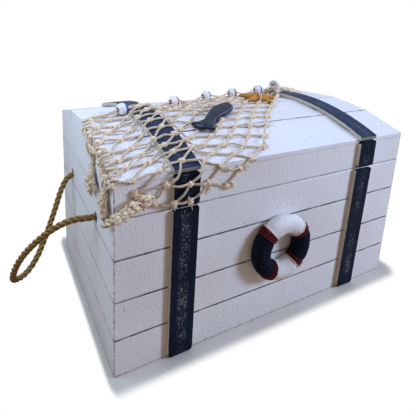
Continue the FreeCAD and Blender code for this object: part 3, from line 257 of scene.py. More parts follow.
def white_boards(name, grain, joint_width):
    """Matte white paint on boards; grain is the noise scale along X, Y and Z, long along the wood.
    Within joint_width of an open joint the arris is rounded and grimy."""
    material, place, coat = fresh_material(name)
    across, along, height = apart(place)
    strokes = cloudy(stretched(place, grain), 1.0, 5.0, 0.6)
    dabs = cloudy(place, 900.0, 2.0)
    patches = cloudy(place, 9.0, 3.0)
    colour = mixed(ramped(patches, 0.42, 0.78) * 0.55, white_coat, thin_coat)
    colour = mixed(ramped(strokes, 0.56, 0.74) * 0.22, colour, thin_coat)
    ragged = (cloudy(place, 260.0, 4.0) - 0.5) * 0.0042
    arris = HALF_LENGTH - abs(across) + HALF_DEPTH - abs(along) + ragged
    below_top = ramped(height, *STAVE_EDGE[::-1])
    worn = ramped(arris, 0.0010, 0.0001) * below_top
    foot = ramped(height + ragged, 0.0016, 0.0004)
    colour = mixed(worn.math("MAXIMUM", foot) * 0.85, colour, bare_brown)
    from_outside = (HALF_LENGTH - abs(across)).math("MINIMUM", HALF_DEPTH - abs(along))
    nearest = abs(height - ROW_LEVELS[3]) * 1.7 + ramped(from_outside, 0.0004, 0.0012) * 0.02
    for level in ROW_LEVELS[:3]:
        nearest = nearest.math("MINIMUM", abs(height - level))
    nearest = nearest + ramped(height, *STAVE_EDGE) * 0.02
    for level in STAVE_JOINTS:
        beside = abs(along - level) * (1.7 if level == 0.0 else 0.85) + below_top * 0.02
        nearest = nearest.math("MINIMUM", beside)
    patchy = 0.6 + 0.4 * ramped(cloudy(place, 70.0, 3.0), 0.40, 0.52)
    joint = ramped(nearest + ragged * 0.16, joint_width, joint_width * 0.45) * patchy
    colour = mixed(joint * 0.92, colour, joint_brown)
    on_front = ramped(along, -0.1240, -0.1255)
    # Painted shadow: a brown strip on the front boards just left of each slat, where the slat's shadow falls.
    slat_shadow_paint = ramped(across, -0.1515, -0.1440) * ramped(across, -0.1430, -0.1435)
    lean = across - height * SLAT_LEAN - LEANING_FOOT
    slat_shadow_paint = slat_shadow_paint + ramped(lean, -0.0225, -0.0155) * ramped(lean, -0.0140, -0.0145)
    colour = mixed(slat_shadow_paint * on_front * 0.2, colour, paint_tone(150, 116, 90))
    stave_edge = ramped(abs(height - 0.2087 + ragged * 0.1), 0.0008, 0.0002) * on_front * patchy
    colour = mixed(stave_edge * 0.4, colour, paint_tone(140, 116, 104))
    fleck = ramped(cloudy(place, 230.0, 2.0, 0.4), 0.735, 0.77)
    colour = mixed(fleck * 0.7, colour, bare_brown)
    feed(coat["Base Color"], colour)
    feed(coat["Roughness"], 0.5 + patches * 0.16)
    arris_round = ramped(nearest, 0.0022, 0.0003)
    pebbled = cloudy(place, 320.0, 2.0)
    lid_split = ramped(height, 0.1720, 0.1742) * ramped(height, 0.1753, 0.1749) * ramped(across, -0.02, 0.05)
    relief = pebbled * 3.2 + dabs * 0.55 + strokes * 0.65 - fleck * 0.8 - worn * 0.7 - arris_round * 2.4
    relief = relief - lid_split * 7.0
    feed(coat["Normal"], bumped(relief, 0.00024, 0.8))
    return material


long_grain = white_boards("white_boards_long", (14.0, 300.0, 300.0), 0.0013)
end_grain = white_boards("white_boards_ends", (300.0, 14.0, 300.0), 0.0008)
long_boards = [name for name in solid if name.startswith(("front_plank", "back_plank", "lid_stave"))]
long_boards += ["lid_front_board", "lid_back_board"]
end_boards = [name for name in solid if "end_plank" in name or name in ("lid_left_end", "lid_right_end")]


def coat_nodes(names, material):
    """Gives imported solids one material."""
    for name in names:
        mesh = solid[name].data
        mesh.materials.clear()
        mesh.materials.append(material)


coat_nodes(long_boards, long_grain)
coat_nodes(end_boards, end_grain)

# Floor panel and corner battens: bare sawn softwood that is only seen inside.
bare_wood, place, wood = fresh_material("bare_softwood")
rings = cloudy(stretched(place, (9.0, 150.0, 9.0)), 1.0, 4.0)
fibres = cloudy(stretched(place, (20.0, 900.0, 20.0)), 1.0, 3.0)
colour = mixed(ramped(rings, 0.35, 0.65), paint_tone(222, 190, 146), paint_tone(184, 143, 98))
feed(wood["Base Color"], mixed(ramped(fibres, 0.4, 0.75) * 0.4, colour, paint_tone(150, 112, 74)))
feed(wood["Roughness"], 0.62 + rings * 0.15)
feed(wood["Normal"], bumped(rings + fibres * 0.6, 0.0003, 0.5))
coat_nodes(["base_panel"] + [name for name in solid if name.endswith("batten")], bare_wood)

# Hinges at the back: stamped brass leaves on a brass pin, with countersunk screws,
# lightly brushed and dulled by handling.
hinge_brass, place, metal = fresh_material("dull_brass")
brushed = cloudy(stretched(place, (60.0, 400.0, 2400.0)), 1.0, 3.0)
dulled = ramped(cloudy(place, 160.0, 4.0), 0.4, 0.7)
feed(metal["Base Color"], mixed(dulled, paint_tone(206, 174, 104), paint_tone(160, 124, 66)))
metal["Metallic"].default_value = 1.0
feed(metal["Roughness"], 0.26 + dulled * 0.22)
feed(metal["Normal"], bumped(brushed, 0.00004, 0.5))
coat_nodes([name for name in solid if "hinge" in name], hinge_brass)

# Slats: six flat navy straps glued over the boards. Navy paint lies on the broad face only;
# the cut sides stay cream, and sanding left white flecks down the middle third.
navy_coat = paint_tone(11, 20, 36)
faded_navy = paint_tone(21, 33, 57)
painted_sky_reflection = paint_tone(62, 78, 106)
cream_side = paint_tone(216, 208, 192)
chalk_white = paint_tone(226, 226, 228)
LEFT_SLAT = -0.129
RIGHT_SLAT = 0.1295
SLAT_HALF = 0.0145


def shown(wire, label):
    """One of a piece's own numbers, 0 on a piece without it."""
    return wire.node("ShaderNodeAttribute", {}, output=2, attribute_name=label)


def navy_slat(name, middle, sanded, lean=0.0):
    """Navy on the broad face and cream on both sides of a strap whose middle line is x = middle + lean z;
    sanded is how strongly the white flecks show. Over the lid the blue is painted lighter as a reflection of
    the sky."""
    material, place, coat = fresh_material(name)
    across, along, height = apart(place)
    off_middle = abs(across - middle - height * lean)
    streaks = cloudy(stretched(place, (1300.0, 330.0, 330.0)), 1.0, 4.0, 0.7)
    patches = cloudy(place, 34.0, 3.0)
    ragged = (cloudy(place, 420.0, 3.0) - 0.5) * 0.0012
    centre_third = ramped(off_middle, 0.0075, 0.0025)
    fleck = ramped(streaks + patches * 0.30, 0.72, 0.80) * centre_third
    colour = mixed(ramped(patches, 0.35, 0.7) * 0.45, navy_coat, faded_navy)
    colour = mixed(ramped(streaks, 0.45, 0.75) * 0.2, colour, faded_navy)
    # Painted reflection: over the lid the navy is lightened towards a sky blue.
    colour = mixed(ramped(height, 0.2125, 0.2165) * 0.55, colour, painted_sky_reflection)
    colour = mixed(fleck * sanded, colour, chalk_white)
    side = ramped(off_middle + ragged, SLAT_HALF - 0.0005, SLAT_HALF - 0.0001)
    side_colour = mixed(ramped(patches, 0.3, 0.7) * 0.5, cream_side, paint_tone(190, 178, 160))
    side = side.math("MAXIMUM", ramped(shown(place, "cut_end"), 0.45, 0.8) * 0.45)
    feed(coat["Base Color"], mixed(side, colour, side_colour))
    feed(coat["Roughness"], 0.5 + streaks * 0.25)
    coat["IOR"].default_value = 1.14
    feed(coat["Normal"], bumped(streaks * 0.6 + patches * 0.2 + fleck * 0.4, 0.00025, 0.6))
    return material


def grid_faces(rows, columns, first=0, closed_rows=False):
    """Quads between the points of a grid whose last column meets its first; they face out where
    columns run left-handed about rows."""
    row, column = np.meshgrid(np.arange(rows if closed_rows else rows - 1), np.arange(columns), indexing="ij")
    row, column = row.ravel(), column.ravel()
    next_row, next_column = (row + 1) % rows, (column + 1) % columns
    corners = [row * columns + column, row * columns + next_column,
               next_row * columns + next_column, next_row * columns + column]
    return first + np.stack(corners, axis=1)


def end_faces(rows, columns, first=0):
    """The two faces that close a tube's grid at its first and its last row."""
    start = first + np.arange(columns)[::-1]
    return [start[None], first + (rows - 1) * columns + np.arange(columns)[None]]


def tube_faces(count, rows, columns, closed_rows=False):
    """The faces of equal tubes whose points follow one another: their quads, and both ends unless
    each tube's last row meets its first."""
    firsts = np.arange(count)[:, None] * rows * columns
    quads = (grid_faces(rows, columns, closed_rows=closed_rows)[None] + firsts[..., None]).reshape(-1, 4)
    return [quads] + [face + firsts for face in end_faces(rows, columns) if not closed_rows]


def make_piece(name, points, face_groups, material, smooth=True, **attributes):
    """A mesh object in the part's frame, with number attributes on its points."""
    mesh = bpy.data.meshes.new(name)
    faces = [face for group in face_groups for face in np.asarray(group).tolist()]
    mesh.from_pydata(np.asarray(points).reshape(-1, 3).tolist(), [], faces)
    mesh.polygons.foreach_set("use_smooth", np.full(len(faces), smooth))
    for label, values in attributes.items():
        layer = mesh.attributes.new(label, "FLOAT", "POINT")
        layer.data.foreach_set("value", np.asarray(values, dtype=np.float32).ravel())
    mesh.materials.append(material)
    mesh.update()
    piece = bpy.data.objects.new(name, mesh)
    scene.collection.objects.link(piece)
    return piece


left_navy = navy_slat("navy_left", LEFT_SLAT, 0.42)
right_navy = navy_slat("navy_right", RIGHT_SLAT, 0.3)
leaning_navy = navy_slat("navy_leaning", LEANING_FOOT, 0.35, SLAT_LEAN)
coat_nodes(["left_body_band", "left_lid_front_band"], left_navy)
coat_nodes(["right_lid_front_band"], right_navy)
coat_nodes(["right_body_band"], leaning_navy)

# The two slats over the lid are bent along the arch: rows of saw cuts from beneath let
# the 5 mm strip bend, and show as a comb on its cream sides. Rounded ends, nailed flat.
ARCH_HEIGHT = -0.1444593
STRAP_INSIDE = 0.380009
STRAP_OUTSIDE = 0.385009
STRAP_TURN = 0.34581
SAW_PITCH = 0.0030
SAW_WIDTH = 0.0009
SAW_DEPTH = 0.0022
cut_count = int(1.72 * STRAP_TURN * STRAP_INSIDE / SAW_PITCH)
cut_middles = (np.arange(cut_count) - (cut_count - 1) / 2) * SAW_PITCH / STRAP_INSIDE
half_cut = SAW_WIDTH / 2 / STRAP_INSIDE
wall_turns = np.stack([cut_middles - half_cut, cut_middles - half_cut,
                       cut_middles + half_cut, cut_middles + half_cut], axis=1).ravel()
wall_radii = np.tile([0.0, SAW_DEPTH, SAW_DEPTH, 0.0], cut_count) + STRAP_INSIDE
turns = np.concatenate([[-STRAP_TURN, -STRAP_TURN + 0.003], wall_turns, [STRAP_TURN - 0.003, STRAP_TURN]])
low_radii = np.concatenate([[STRAP_INSIDE] * 2, wall_radii, [STRAP_INSIDE] * 2])
end_round = np.zeros(len(turns))
end_round[[0, -1]] = 0.0016
for side, middle, coat in (("left", LEFT_SLAT, left_navy), ("right", RIGHT_SLAT, right_navy)):
    half = np.full(len(turns), SLAT_HALF)
    soft = 0.0005
    over = [(half, low_radii), (half, STRAP_OUTSIDE - soft - end_round),
            (half - soft, STRAP_OUTSIDE - end_round), (soft - half, STRAP_OUTSIDE - end_round),
            (-half, STRAP_OUTSIDE - soft - end_round), (-half, low_radii)]
    across = np.stack([middle + shift for shift, radius in over], axis=1)
    radius = np.stack([np.broadcast_to(radius, len(turns)) for shift, radius in over], axis=1)
    points = np.stack([across, radius * np.sin(turns)[:, None],
                       ARCH_HEIGHT + radius * np.cos(turns)[:, None]], axis=2)
    rows, columns = across.shape
    at_end = np.zeros((rows, columns))
    at_end[[0, -1]] = 1.0
    strap = make_piece(side + "_top_slat", points, tube_faces(1, rows, columns), coat, smooth=False,
                       cut_end=at_end)
    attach(strap, "lid")
    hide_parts(side + "_lid_top_band")

# Life ring: a stuffed ring of felt glued to the front, four soft sections in navy and
# white. It bulges between its bindings and lies flat on the planks behind.
RING_CENTRE = (-0.004, -0.135, 0.0995)
RING_RADIUS = 0.0295
RING_TUBE = 0.0105
PLANK_FRONT = -HALF_DEPTH
BINDING_TURNS = (134.0, 40.0, -46.0, -122.0)
white_felt = paint_tone(236, 236, 240)
navy_felt = paint_tone(20, 27, 40)


def ring_points(turn, phase, tube):
    """Points of a ring tube in the plane of the front, pressed flat against the planks."""
    reach = RING_RADIUS + tube * np.cos(phase)
    deep = np.minimum(RING_CENTRE[1] + tube * np.sin(phase), PLANK_FRONT - 0.0001)
    return np.stack([RING_CENTRE[0] + reach * np.cos(turn), deep,
                     RING_CENTRE[2] + reach * np.sin(turn)], axis=2)


def turns_apart(turn, middle):
    """The signed angle in degrees from a middle to each turn, from -180 to 180."""
    return (np.degrees(turn) - middle + 180.0) % 360.0 - 180.0


turn, phase = np.meshgrid(np.radians(np.arange(0, 360, 1.0)), np.radians(np.arange(0, 360, 5.0)),
                          indexing="ij")
nearest = np.min([np.abs(turns_apart(turn, middle)) for middle in BINDING_TURNS], axis=0)
pinched = np.exp(-(nearest / 11.0) ** 2)
puckers = sum(np.sin(count * phase + shift + 0.8 * np.sin(3 * turn))
              for count, shift in ((7, 0.4), (11, 2.0)))
swell = sum(np.sin(3 * phase * k + 7 * turn * k + k) / k for k in (1, 2))
tube = RING_TUBE * (1.055 - 0.13 * pinched + 0.012 * puckers * np.exp(-(nearest / 20.0) ** 2) + 0.012 * swell)
is_white = np.maximum(np.abs(turns_apart(turn, 87.0)) < 47.0, np.abs(turns_apart(turn, -84.0)) < 38.0)
felt, place, cloth = fresh_material("felt")
white = shown(place, "white")
fibres = cloudy(place, 2600.0, 4.0, 0.7)
matted = cloudy(place, 260.0, 4.0)
soiled = mixed(ramped(matted, 0.45, 0.8) * 0.35, white_felt, paint_tone(190, 186, 188))
deep_navy = mixed(ramped(matted, 0.4, 0.7) * 0.5, navy_felt, paint_tone(38, 50, 68))
feed(cloth["Base Color"], mixed(white, deep_navy, soiled))
feed(cloth["Roughness"], 0.86 + fibres * 0.12)
cloth["IOR"].default_value = 1.1
feed(cloth["Normal"], bumped(fibres * 0.6 + matted, 0.0005, 0.7))
ring_body = make_piece("felt_ring", ring_points(turn, phase, tube),
                       tube_faces(1, *turn.shape, closed_rows=True), felt, white=is_white)
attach(ring_body, "body")
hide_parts("life_ring")

# Bindings: four turns of maroon thread wound tight over each joint of the felt, with one
# turn of white thread at the edge. Each is a ribbed cuff whose ends sink into the felt.
THREAD_TURNS = 4
BINDING_HALF = 8.5
maroon_thread, place, cloth = fresh_material("maroon_thread")
crest = shown(place, "crest")
white = shown(place, "white")
twist = cloudy(place, 1500.0, 3.0, 0.6)
uneven = cloudy(place, 300.0, 3.0)
red = mixed(ramped(uneven, 0.35, 0.7), paint_tone(98, 9, 24), paint_tone(66, 6, 17))
# Painted shade: the grooves between the turns of thread are darkened nearly to black.
red = mixed(ramped(crest, 0.75, 0.1) * 0.9, red, paint_tone(26, 5, 10))
feed(cloth["Base Color"], mixed(white, red, paint_tone(226, 220, 218)))
feed(cloth["Roughness"], 0.6 + twist * 0.3)
cloth["Specular IOR Level"].default_value = 0.2
feed(cloth["Normal"], bumped(twist, 0.0003, 0.6))
cuff_points, cuff_faces, cuff_crest, cuff_white = [], [], [], []
first = 0
for middle, white_side in zip(BINDING_TURNS, (-1, 1, -1, 1)):
    share, phase = np.meshgrid(np.linspace(-1.0, 1.0, THREAD_TURNS * 8 + 1),
                               np.radians(np.arange(0, 360, 6.0)), indexing="ij")
    skew = 0.07 * np.sin(phase + math.radians(middle))
    ridge = np.abs(np.sin((share + 1.0) / 2 * THREAD_TURNS * np.pi)) ** 0.6
    sunk = np.clip((1.0 - np.abs(share)) * 14.0, 0.0, 1.0)
    tube = RING_TUBE * 0.86 + sunk * (0.0008 + 0.0020 * ridge) + 0.0002 * np.sin(9 * phase + 5 * share)
    turn = np.radians(middle + BINDING_HALF * (share + skew))
    cuff_points.append(ring_points(turn, phase, tube).reshape(-1, 3))
    cuff_faces += [grid_faces(*share.shape, first=first)] + end_faces(*share.shape, first=first)
    cuff_crest.append(ridge.ravel())
    cuff_white.append((share * white_side > 1.0 - 1.4 / THREAD_TURNS).ravel())
    first += share.size
cuffs = make_piece("thread_bindings", np.concatenate(cuff_points), cuff_faces, maroon_thread,
                   crest=np.concatenate(cuff_crest), white=np.concatenate(cuff_white))
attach(cuffs, "body")
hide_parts("ring_bindings")

# Rope handles: a three-strand jute rope through two holes in each end plank, knotted inside.
# The loop falls outward and turns over itself near the bottom, nearest part to the front.
ROPE_RADIUS = 0.0035
ROPE_LAY = 0.021
HOLES_ALONG = (-0.06, 0.06)
HOLE_HEIGHT = 0.145
INNER_KNOT_AT = 0.1864
LEFT_LOOP = [
    (-0.187, -0.06, 0.145), (-0.205, -0.06, 0.145), (-0.224, -0.0565, 0.146), (-0.243, -0.046, 0.133),
    (-0.261, -0.034, 0.112), (-0.273, -0.0235, 0.0915), (-0.28, -0.016, 0.071), (-0.2795, -0.0045, 0.054),
    (-0.267, 0.009, 0.0475), (-0.252, 0.021, 0.0575), (-0.239, 0.0335, 0.079), (-0.226, 0.046, 0.104),
    (-0.216, 0.055, 0.128), (-0.205, 0.06, 0.145), (-0.187, 0.06, 0.145),
]


def points_at(wanted, run, points):
    """Places at the wanted runs of a line through points whose own runs are given."""
    return np.stack([np.interp(wanted, run, points[:, axis]) for axis in range(3)], axis=1)


def unit(ways):
    """Directions scaled to a length of 1."""
    return ways / np.linalg.norm(ways, axis=-1, keepdims=True)


def smooth_path(name, route, spacing):
    """Evenly spaced points on the smooth curve that a route controls, and how far along each lies."""
    curve = bpy.data.curves.new(name, "CURVE")
    curve.dimensions = "3D"
    spline = curve.splines.new("NURBS")
    spline.points.add(len(route) - 1)
    spline.points.foreach_set("co", np.column_stack([route, np.ones(len(route))]).ravel())
    spline.order_u = 3
    spline.use_endpoint_u = True
    spline.resolution_u = 24
    read = bpy.data.meshes.new_from_object(bpy.data.objects.new(name, curve))
    dense = np.empty(len(read.vertices) * 3)
    read.vertices.foreach_get("co", dense)
    dense = dense.reshape(-1, 3)
    run = np.concatenate([[0.0], np.cumsum(np.linalg.norm(np.diff(dense, axis=0), axis=1))])
    even = np.linspace(0.0, run[-1], int(run[-1] / spacing) + 2)
    return points_at(even, run, dense), even


def carried(path, outline, reference):
    """Outlines set square to paths, one to each point, with their first axis towards reference."""
    heading = unit(np.gradient(path, axis=-2))
    side = unit(reference - heading * (heading * reference).sum(axis=-1, keepdims=True))
    over = np.cross(heading, side)
    return (path[..., None, :] + outline[..., :1] * side[..., None, :]
            + outline[..., 1:] * over[..., None, :])


def laid_strands(strands, columns, along, lay, radius):
    """Cross-sections of a cord laid from strands, turning once in each lay; and how high each
    point stands, 0 in a groove and 1 on a strand. The first column lies in a groove."""
    angle = np.arange(columns) * 2 * np.pi / columns
    off_strand = ((angle * strands) % (2 * np.pi) - np.pi) / strands
    bulge = 0.44 * np.cos(off_strand) + np.sqrt(0.3136 - (0.44 * np.sin(off_strand)) ** 2)
    turned = angle + (np.asarray(along) * 2 * np.pi / lay)[..., None]
    reach = bulge * np.broadcast_to(radius, turned.shape[:-1])[..., None]
    outline = np.stack([reach * np.cos(turned), reach * np.sin(turned)], axis=-1)
    high = np.broadcast_to((bulge - bulge.min()) / (bulge.max() - bulge.min()), reach.shape)
    return outline, high


def spun_fibre(name, light, middle, groove_shade, fibre_depth):
    """A material of spun plant fibre: light crests, painted shade in the grooves, and streaks along each
    strand.
    """
    material, place, yarn = fresh_material(name)
    high = shown(place, "high")
    along_strand = place.node("ShaderNodeCombineXYZ", {0: shown(place, "run") * 160.0,
                                                       1: shown(place, "round") * 34.0})
    streaks = cloudy(along_strand, 1.0, 4.0, 0.65)
    patches = cloudy(place, 120.0, 3.0)
    colour = mixed(ramped(streaks, 0.3, 0.72), middle, light)
    colour = mixed(ramped(patches, 0.4, 0.75) * 0.4, colour, middle)
    # Painted shade: the grooves between the strands are darkened towards the groove tone.
    colour = mixed(ramped(high, 0.55, 0.0) * 0.9, colour, groove_shade)
    feed(yarn["Base Color"], colour)
    feed(yarn["Roughness"], 0.85 + streaks * 0.1)
    yarn["Specular IOR Level"].default_value = 0.2
    feed(yarn["Normal"], bumped(streaks + cloudy(place, 1800.0, 2.0) * 0.5, fibre_depth, 0.8))
    return material


def yarn_piece(name, points, faces, material, high, run):
    """A cord's mesh. Each point has three numbers: how high it stands, how far along it lies, and its
    share of the way round."""
    shape = points.shape[:-1]
    around = np.arange(shape[-1]) / shape[-1]
    return make_piece(name, points, faces, material, high=np.broadcast_to(high, shape),
                      run=np.broadcast_to(run, shape), round=np.broadcast_to(around, shape))


def rope_piece(name, path, run, columns, lay, radius, reference, material):
    """A laid rope along one path, closed by a face at each end."""
    outline, high = laid_strands(3, columns, run, lay, radius)
    points = carried(path, outline, np.asarray(reference, dtype=float))
    return yarn_piece(name, points, tube_faces(1, len(path), columns), material, high, run[:, None])


# The third tone is the painted shade in the rope's grooves.
jute = spun_fibre("jute_yarn", paint_tone(174, 139, 84), paint_tone(129, 98, 54),
                  paint_tone(48, 33, 16), 0.0006)
for side, mirror in (("left", 1.0), ("right", -1.0)):
    loop_route = np.array(LEFT_LOOP) * (mirror, 1.0, 1.0)
    path, run = smooth_path(side + "_loop", loop_route, 0.0012)
    rope = rope_piece(side + "_rope_loop", path, run, 36, ROPE_LAY, ROPE_RADIUS * 1.04,
                      (0.79 * mirror, 0.0, -0.61), jute)
    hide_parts(side + "_rope_handle")
    side + "_handle"
    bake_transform(rope)
    # The rope's ends inside: an overhand knot at each hole, drawn tight against the plank.
    rows, columns = 120, 18
    share = np.linspace(0.0, 2 * np.pi, rows, endpoint=False)
    knot = np.stack([0.0018 * np.sin(3 * share), 0.00155 * (np.sin(share) + 2 * np.sin(2 * share)),
                     0.00155 * (np.cos(share) - 2 * np.cos(2 * share))], axis=1)
    closed_run = share / share[-1] * 0.063
    outline, high = laid_strands(3, columns, closed_run, ROPE_LAY, ROPE_RADIUS * 0.86)
    seats = np.array([(-INNER_KNOT_AT * mirror, hole_y, HOLE_HEIGHT) for hole_y in HOLES_ALONG])
    points = carried(seats[:, None] + knot, outline, np.array([1.0, 0.0, 0.0]))
    knot_faces = tube_faces(2, rows, columns, closed_rows=True)
    knot_piece = yarn_piece(side + "_rope_knots", points, knot_faces, jute, high, closed_run[:, None])
    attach(knot_piece, "body")
    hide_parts(side + "_rope_ends")

# Fishing net: one flat net of natural cotton cord, knotted in a skewed square mesh and
# laid over the left half of the lid. It hangs past the eaves at the front and the left end.
EAVES = 0.214
LID_TOP = 0.2355
STAVE_Y = (-HALF_DEPTH, *STAVE_JOINTS, HALF_DEPTH)
STAVE_Z = (EAVES, 0.23009, LID_TOP, 0.23009, EAVES)
random = np.random.default_rng(11)


def eased(share):
    """0 before 0, 1 after 1 and three squares less two cubes between them."""
    share = np.clip(share, 0.0, 1.0)
    return share * share * (3.0 - 2.0 * share)


def over_lid(flat, rise):
    """Places over the lid from places on its skin laid flat: past the left end or the front
    eave the skin turns down. The rise is measured square to the skin, from a slat where one lies."""
    across, along = flat[..., 0], flat[..., 1]
    down_end = np.minimum(across + HALF_LENGTH, 0.0)
    down_front = np.minimum(along + HALF_DEPTH, 0.0)
    y = np.clip(along, -HALF_DEPTH, HALF_DEPTH)
    top = np.interp(y, STAVE_Y, STAVE_Z)
    tilt = -(np.interp(y + 0.006, STAVE_Y, STAVE_Z) - np.interp(y - 0.006, STAVE_Y, STAVE_Z)) / 0.012
    at_end = eased((0.004 - across - HALF_LENGTH) / 0.008)
    at_front = eased((0.004 - along - HALF_DEPTH) / 0.008)
    upright = (1.0 - at_end) * (1.0 - at_front)
    facing = unit(np.stack([-at_end, tilt * upright - at_front, upright], axis=-1))
    slat_top = ARCH_HEIGHT + np.sqrt(STRAP_OUTSIDE ** 2 - y ** 2) - top
    slat = np.where(at_front > 0.5, 0.0053, slat_top)
    beside = np.minimum(np.abs(across - LEFT_SLAT), np.abs(across - RIGHT_SLAT)) - SLAT_HALF
    lift = slat * eased(1.0 - beside / 0.010)
    place = np.stack([np.maximum(across, -HALF_LENGTH), y, top + down_end + down_front], axis=-1)
    return place + facing * (rise + lift)[..., None], facing


# Knots seen in the photograph: the row's number, its first column, and (x, y) in millimetres
# on the flattened skin. The rest of the regular mesh is drawn along with them.
SEEN_KNOTS = [
    (-3, 15, [(117, 43)]), (-2, 14, [(104, 29)]), (-1, 13, [(87, 13)]),
    (0, 10, [(28, 7), (44, -4), (70, -4)]),
    (1, 2, [(-153, -16), (-127, -5), (-88, 3)]), (1, 9, [(11, -12), (31, -17), (52, -22)]),
    (2, 1, [(-170, -36), (-145, -29), (-116, -19), (-85, -16)]), (2, 8, [(-4, -27), (15, -33), (36, -38)]),
    (3, 1, [(-162, -53), (-133, -38), (-108, -35), (-88, -46)]), (3, 7, [(-21, -47), (4, -47), (21, -55)]),
    (4, 0, [(-177, -69), (-154, -65), (-127, -58), (-106, -63)]),
    (4, 5, [(-58, -65), (-37, -67), (-16, -70), (5, -75)]),
    (5, -1, [(-192, -89), (-170, -84), (-146, -82), (-120, -76), (-100, -78), (-77, -80),
             (-55, -85), (-33, -89), (-14, -97)]),
    (6, -1, [(-188, -102), (-163, -96), (-140, -95), (-113, -90), (-94, -96), (-69, -100),
             (-49, -107), (-27, -116)]),
    (7, -1, [(-185, -112), (-162, -109), (-135, -106), (-113, -102), (-92, -110), (-68, -116), (-56, -129)]),
    (8, -1, [(-184, -129), (-156, -124), (-134, -121), (-108, -121), (-92, -128), (-67, -136)]),
    (9, -1, [(-186, -140), (-148, -135), (-127, -138), (-104, -144), (-83, -153)]),
    (10, -1, [(-162, -154), (-143, -156), (-129, -155)]),
]
NET_OUTLINE = np.array([
    (-200, -10), (-176, 1), (-150, 8), (-124, 17), (-98, 27), (-70, 31), (-40, 42), (-8, 52),
    (20, 59), (48, 66),
    (82, 66), (114, 65), (122, 42), (108, 26), (91, 10), (74, -7), (56, -25), (40, -41), (25, -58), (9, -78),
    (-10, -100), (-23, -119), (-51, -132), (-63, -139), (-80, -157), (-106, -148), (-128, -160), (-142, -160),
    (-158, -158), (-171, -144), (-193, -143), (-200, -130)]) / 1000
TOP_BORDER = 12
FIRST_KNOT = np.array([-0.195, 0.0105])
COLUMN_STEP = np.array([0.02235, -0.00116])
ROW_STEP = np.array([0.00519, -0.01733])
columns, rows = np.meshgrid(np.arange(-4, 18), np.arange(-5, 11), indexing="ij")


def run_along(paths):
    """How far each point of each path lies from its start: the sum of the steps before it."""
    steps = np.linalg.norm(np.diff(paths, axis=1), axis=2)
    return np.concatenate([np.zeros((len(paths), 1)), np.cumsum(steps, axis=1)], axis=1)


def even_mesh(column, row):
    """The mesh before it is drawn out of shape: its lattice in metres on the flattened skin."""
    return FIRST_KNOT + column[..., None] * COLUMN_STEP + row[..., None] * ROW_STEP


known = np.array([(column + index, row, *place) for row, column, places in SEEN_KNOTS
                  for index, place in enumerate(places)], dtype=float)
shift = known[:, 2:] / 1000 - even_mesh(known[:, 0], known[:, 1])
away = (columns[..., None] - known[:, 0]) ** 2 + (rows[..., None] - known[:, 1]) ** 2
weight = np.exp(-away / 0.5)
lattice = even_mesh(columns, rows) + (weight @ shift) / (weight.sum(axis=-1, keepdims=True) + 0.06)
free = 1.0 - np.exp(-away.min(axis=-1) / 1.2)
lattice += random.normal(0.0, 0.0013, lattice.shape) * free[..., None]


def inside(flat):
    """Whether places on the flattened skin lie within the net's outline."""
    here = flat[..., None, :]
    low, high = NET_OUTLINE, np.roll(NET_OUTLINE, -1, axis=0)
    spans = (low[:, 1] > here[..., 1]) != (high[:, 1] > here[..., 1])
    rise = np.where(high[:, 1] == low[:, 1], 1.0, high[:, 1] - low[:, 1])
    cross = low[:, 0] + (here[..., 1] - low[:, 1]) / rise * (high[:, 0] - low[:, 0])
    return (spans & (here[..., 0] < cross)).sum(axis=-1) % 2 == 1


# Past the left eave the mesh hangs in two lobes, each drawn together towards its gathering
# knot: (first and last row, y of the knot, distance below the eave).
LOBES = [(-3, 4, -0.060, 0.0250), (5, 9, -0.1085, 0.0240)]
gather_y = np.select([rows <= LOBES[0][1]], [LOBES[0][2]], LOBES[1][2])
gather_drop = np.select([rows <= LOBES[0][1]], [LOBES[0][3]], LOBES[1][3])
drop = -HALF_LENGTH - lattice[..., 0]
hanging = (drop > 0) & (lattice[..., 1] < -0.012) & (lattice[..., 1] > -0.131)
drawn = np.clip(drop / gather_drop, 0.0, 1.0) ** 1.2
pulled = lattice[..., 1] + (gather_y - lattice[..., 1]) * drawn * 0.8
lattice[..., 1] = np.where(hanging, pulled, lattice[..., 1])
bunched = hanging & (drop > gather_drop * 0.8)
lattice[bunched, 0] = -HALF_LENGTH - gather_drop[bunched]
lattice[bunched, 1] = gather_y[bunched] + random.normal(0.0, 0.0011, bunched.sum())
held = (inside(lattice) & (drop < 0)) | hanging
ends = [(lattice[:-1], lattice[1:], held[:-1], held[1:], bunched[:-1] & bunched[1:]),
        (lattice[1:, :-1], lattice[:-1, 1:], held[1:, :-1], held[:-1, 1:],
         bunched[1:, :-1] & bunched[:-1, 1:])]
starts, stops = [], []
edge_knots = []
for near, far, near_held, far_held, joined in ends:
    both = near_held & far_held & ~joined
    starts.append(near[both])
    stops.append(far[both])
    for kept, lost in ((near[near_held & ~far_held], far[near_held & ~far_held]),
                       (far[far_held & ~near_held], near[far_held & ~near_held])):
        share = np.linspace(0.0, 1.0, 41)[:, None]
        walk = kept[:, None] * (1 - share) + lost[:, None] * share
        reach = np.argmin(inside(walk) & (walk[..., 0] > -HALF_LENGTH), axis=1)
        rim = np.take_along_axis(walk, reach[:, None, None].repeat(2, axis=2), axis=1)[:, 0]
        far_enough = (np.linalg.norm(rim - kept, axis=1) > 0.007) & (kept[:, 0] > -HALF_LENGTH)
        past_border = rim[:, 1] > 0.0005 + np.interp(rim[:, 0], [-0.2, 0.12], [-0.02, 0.055])
        far_enough &= past_border | (rim[:, 1] < -0.140)
        starts.append(kept[far_enough])
        stops.append(rim[far_enough])
        edge_knots.append(rim[far_enough])
border = NET_OUTLINE[:TOP_BORDER]
starts.append(border[:-1])
stops.append(border[1:])
starts, stops = np.concatenate(starts), np.concatenate(stops)
NET_CORD = 0.00138
NET_LAY = 0.0098
SIDES = 9
share = np.linspace(0.0, 1.0, 21)
leans = unit((stops - starts)[:, ::-1] * (-1.0, 1.0))
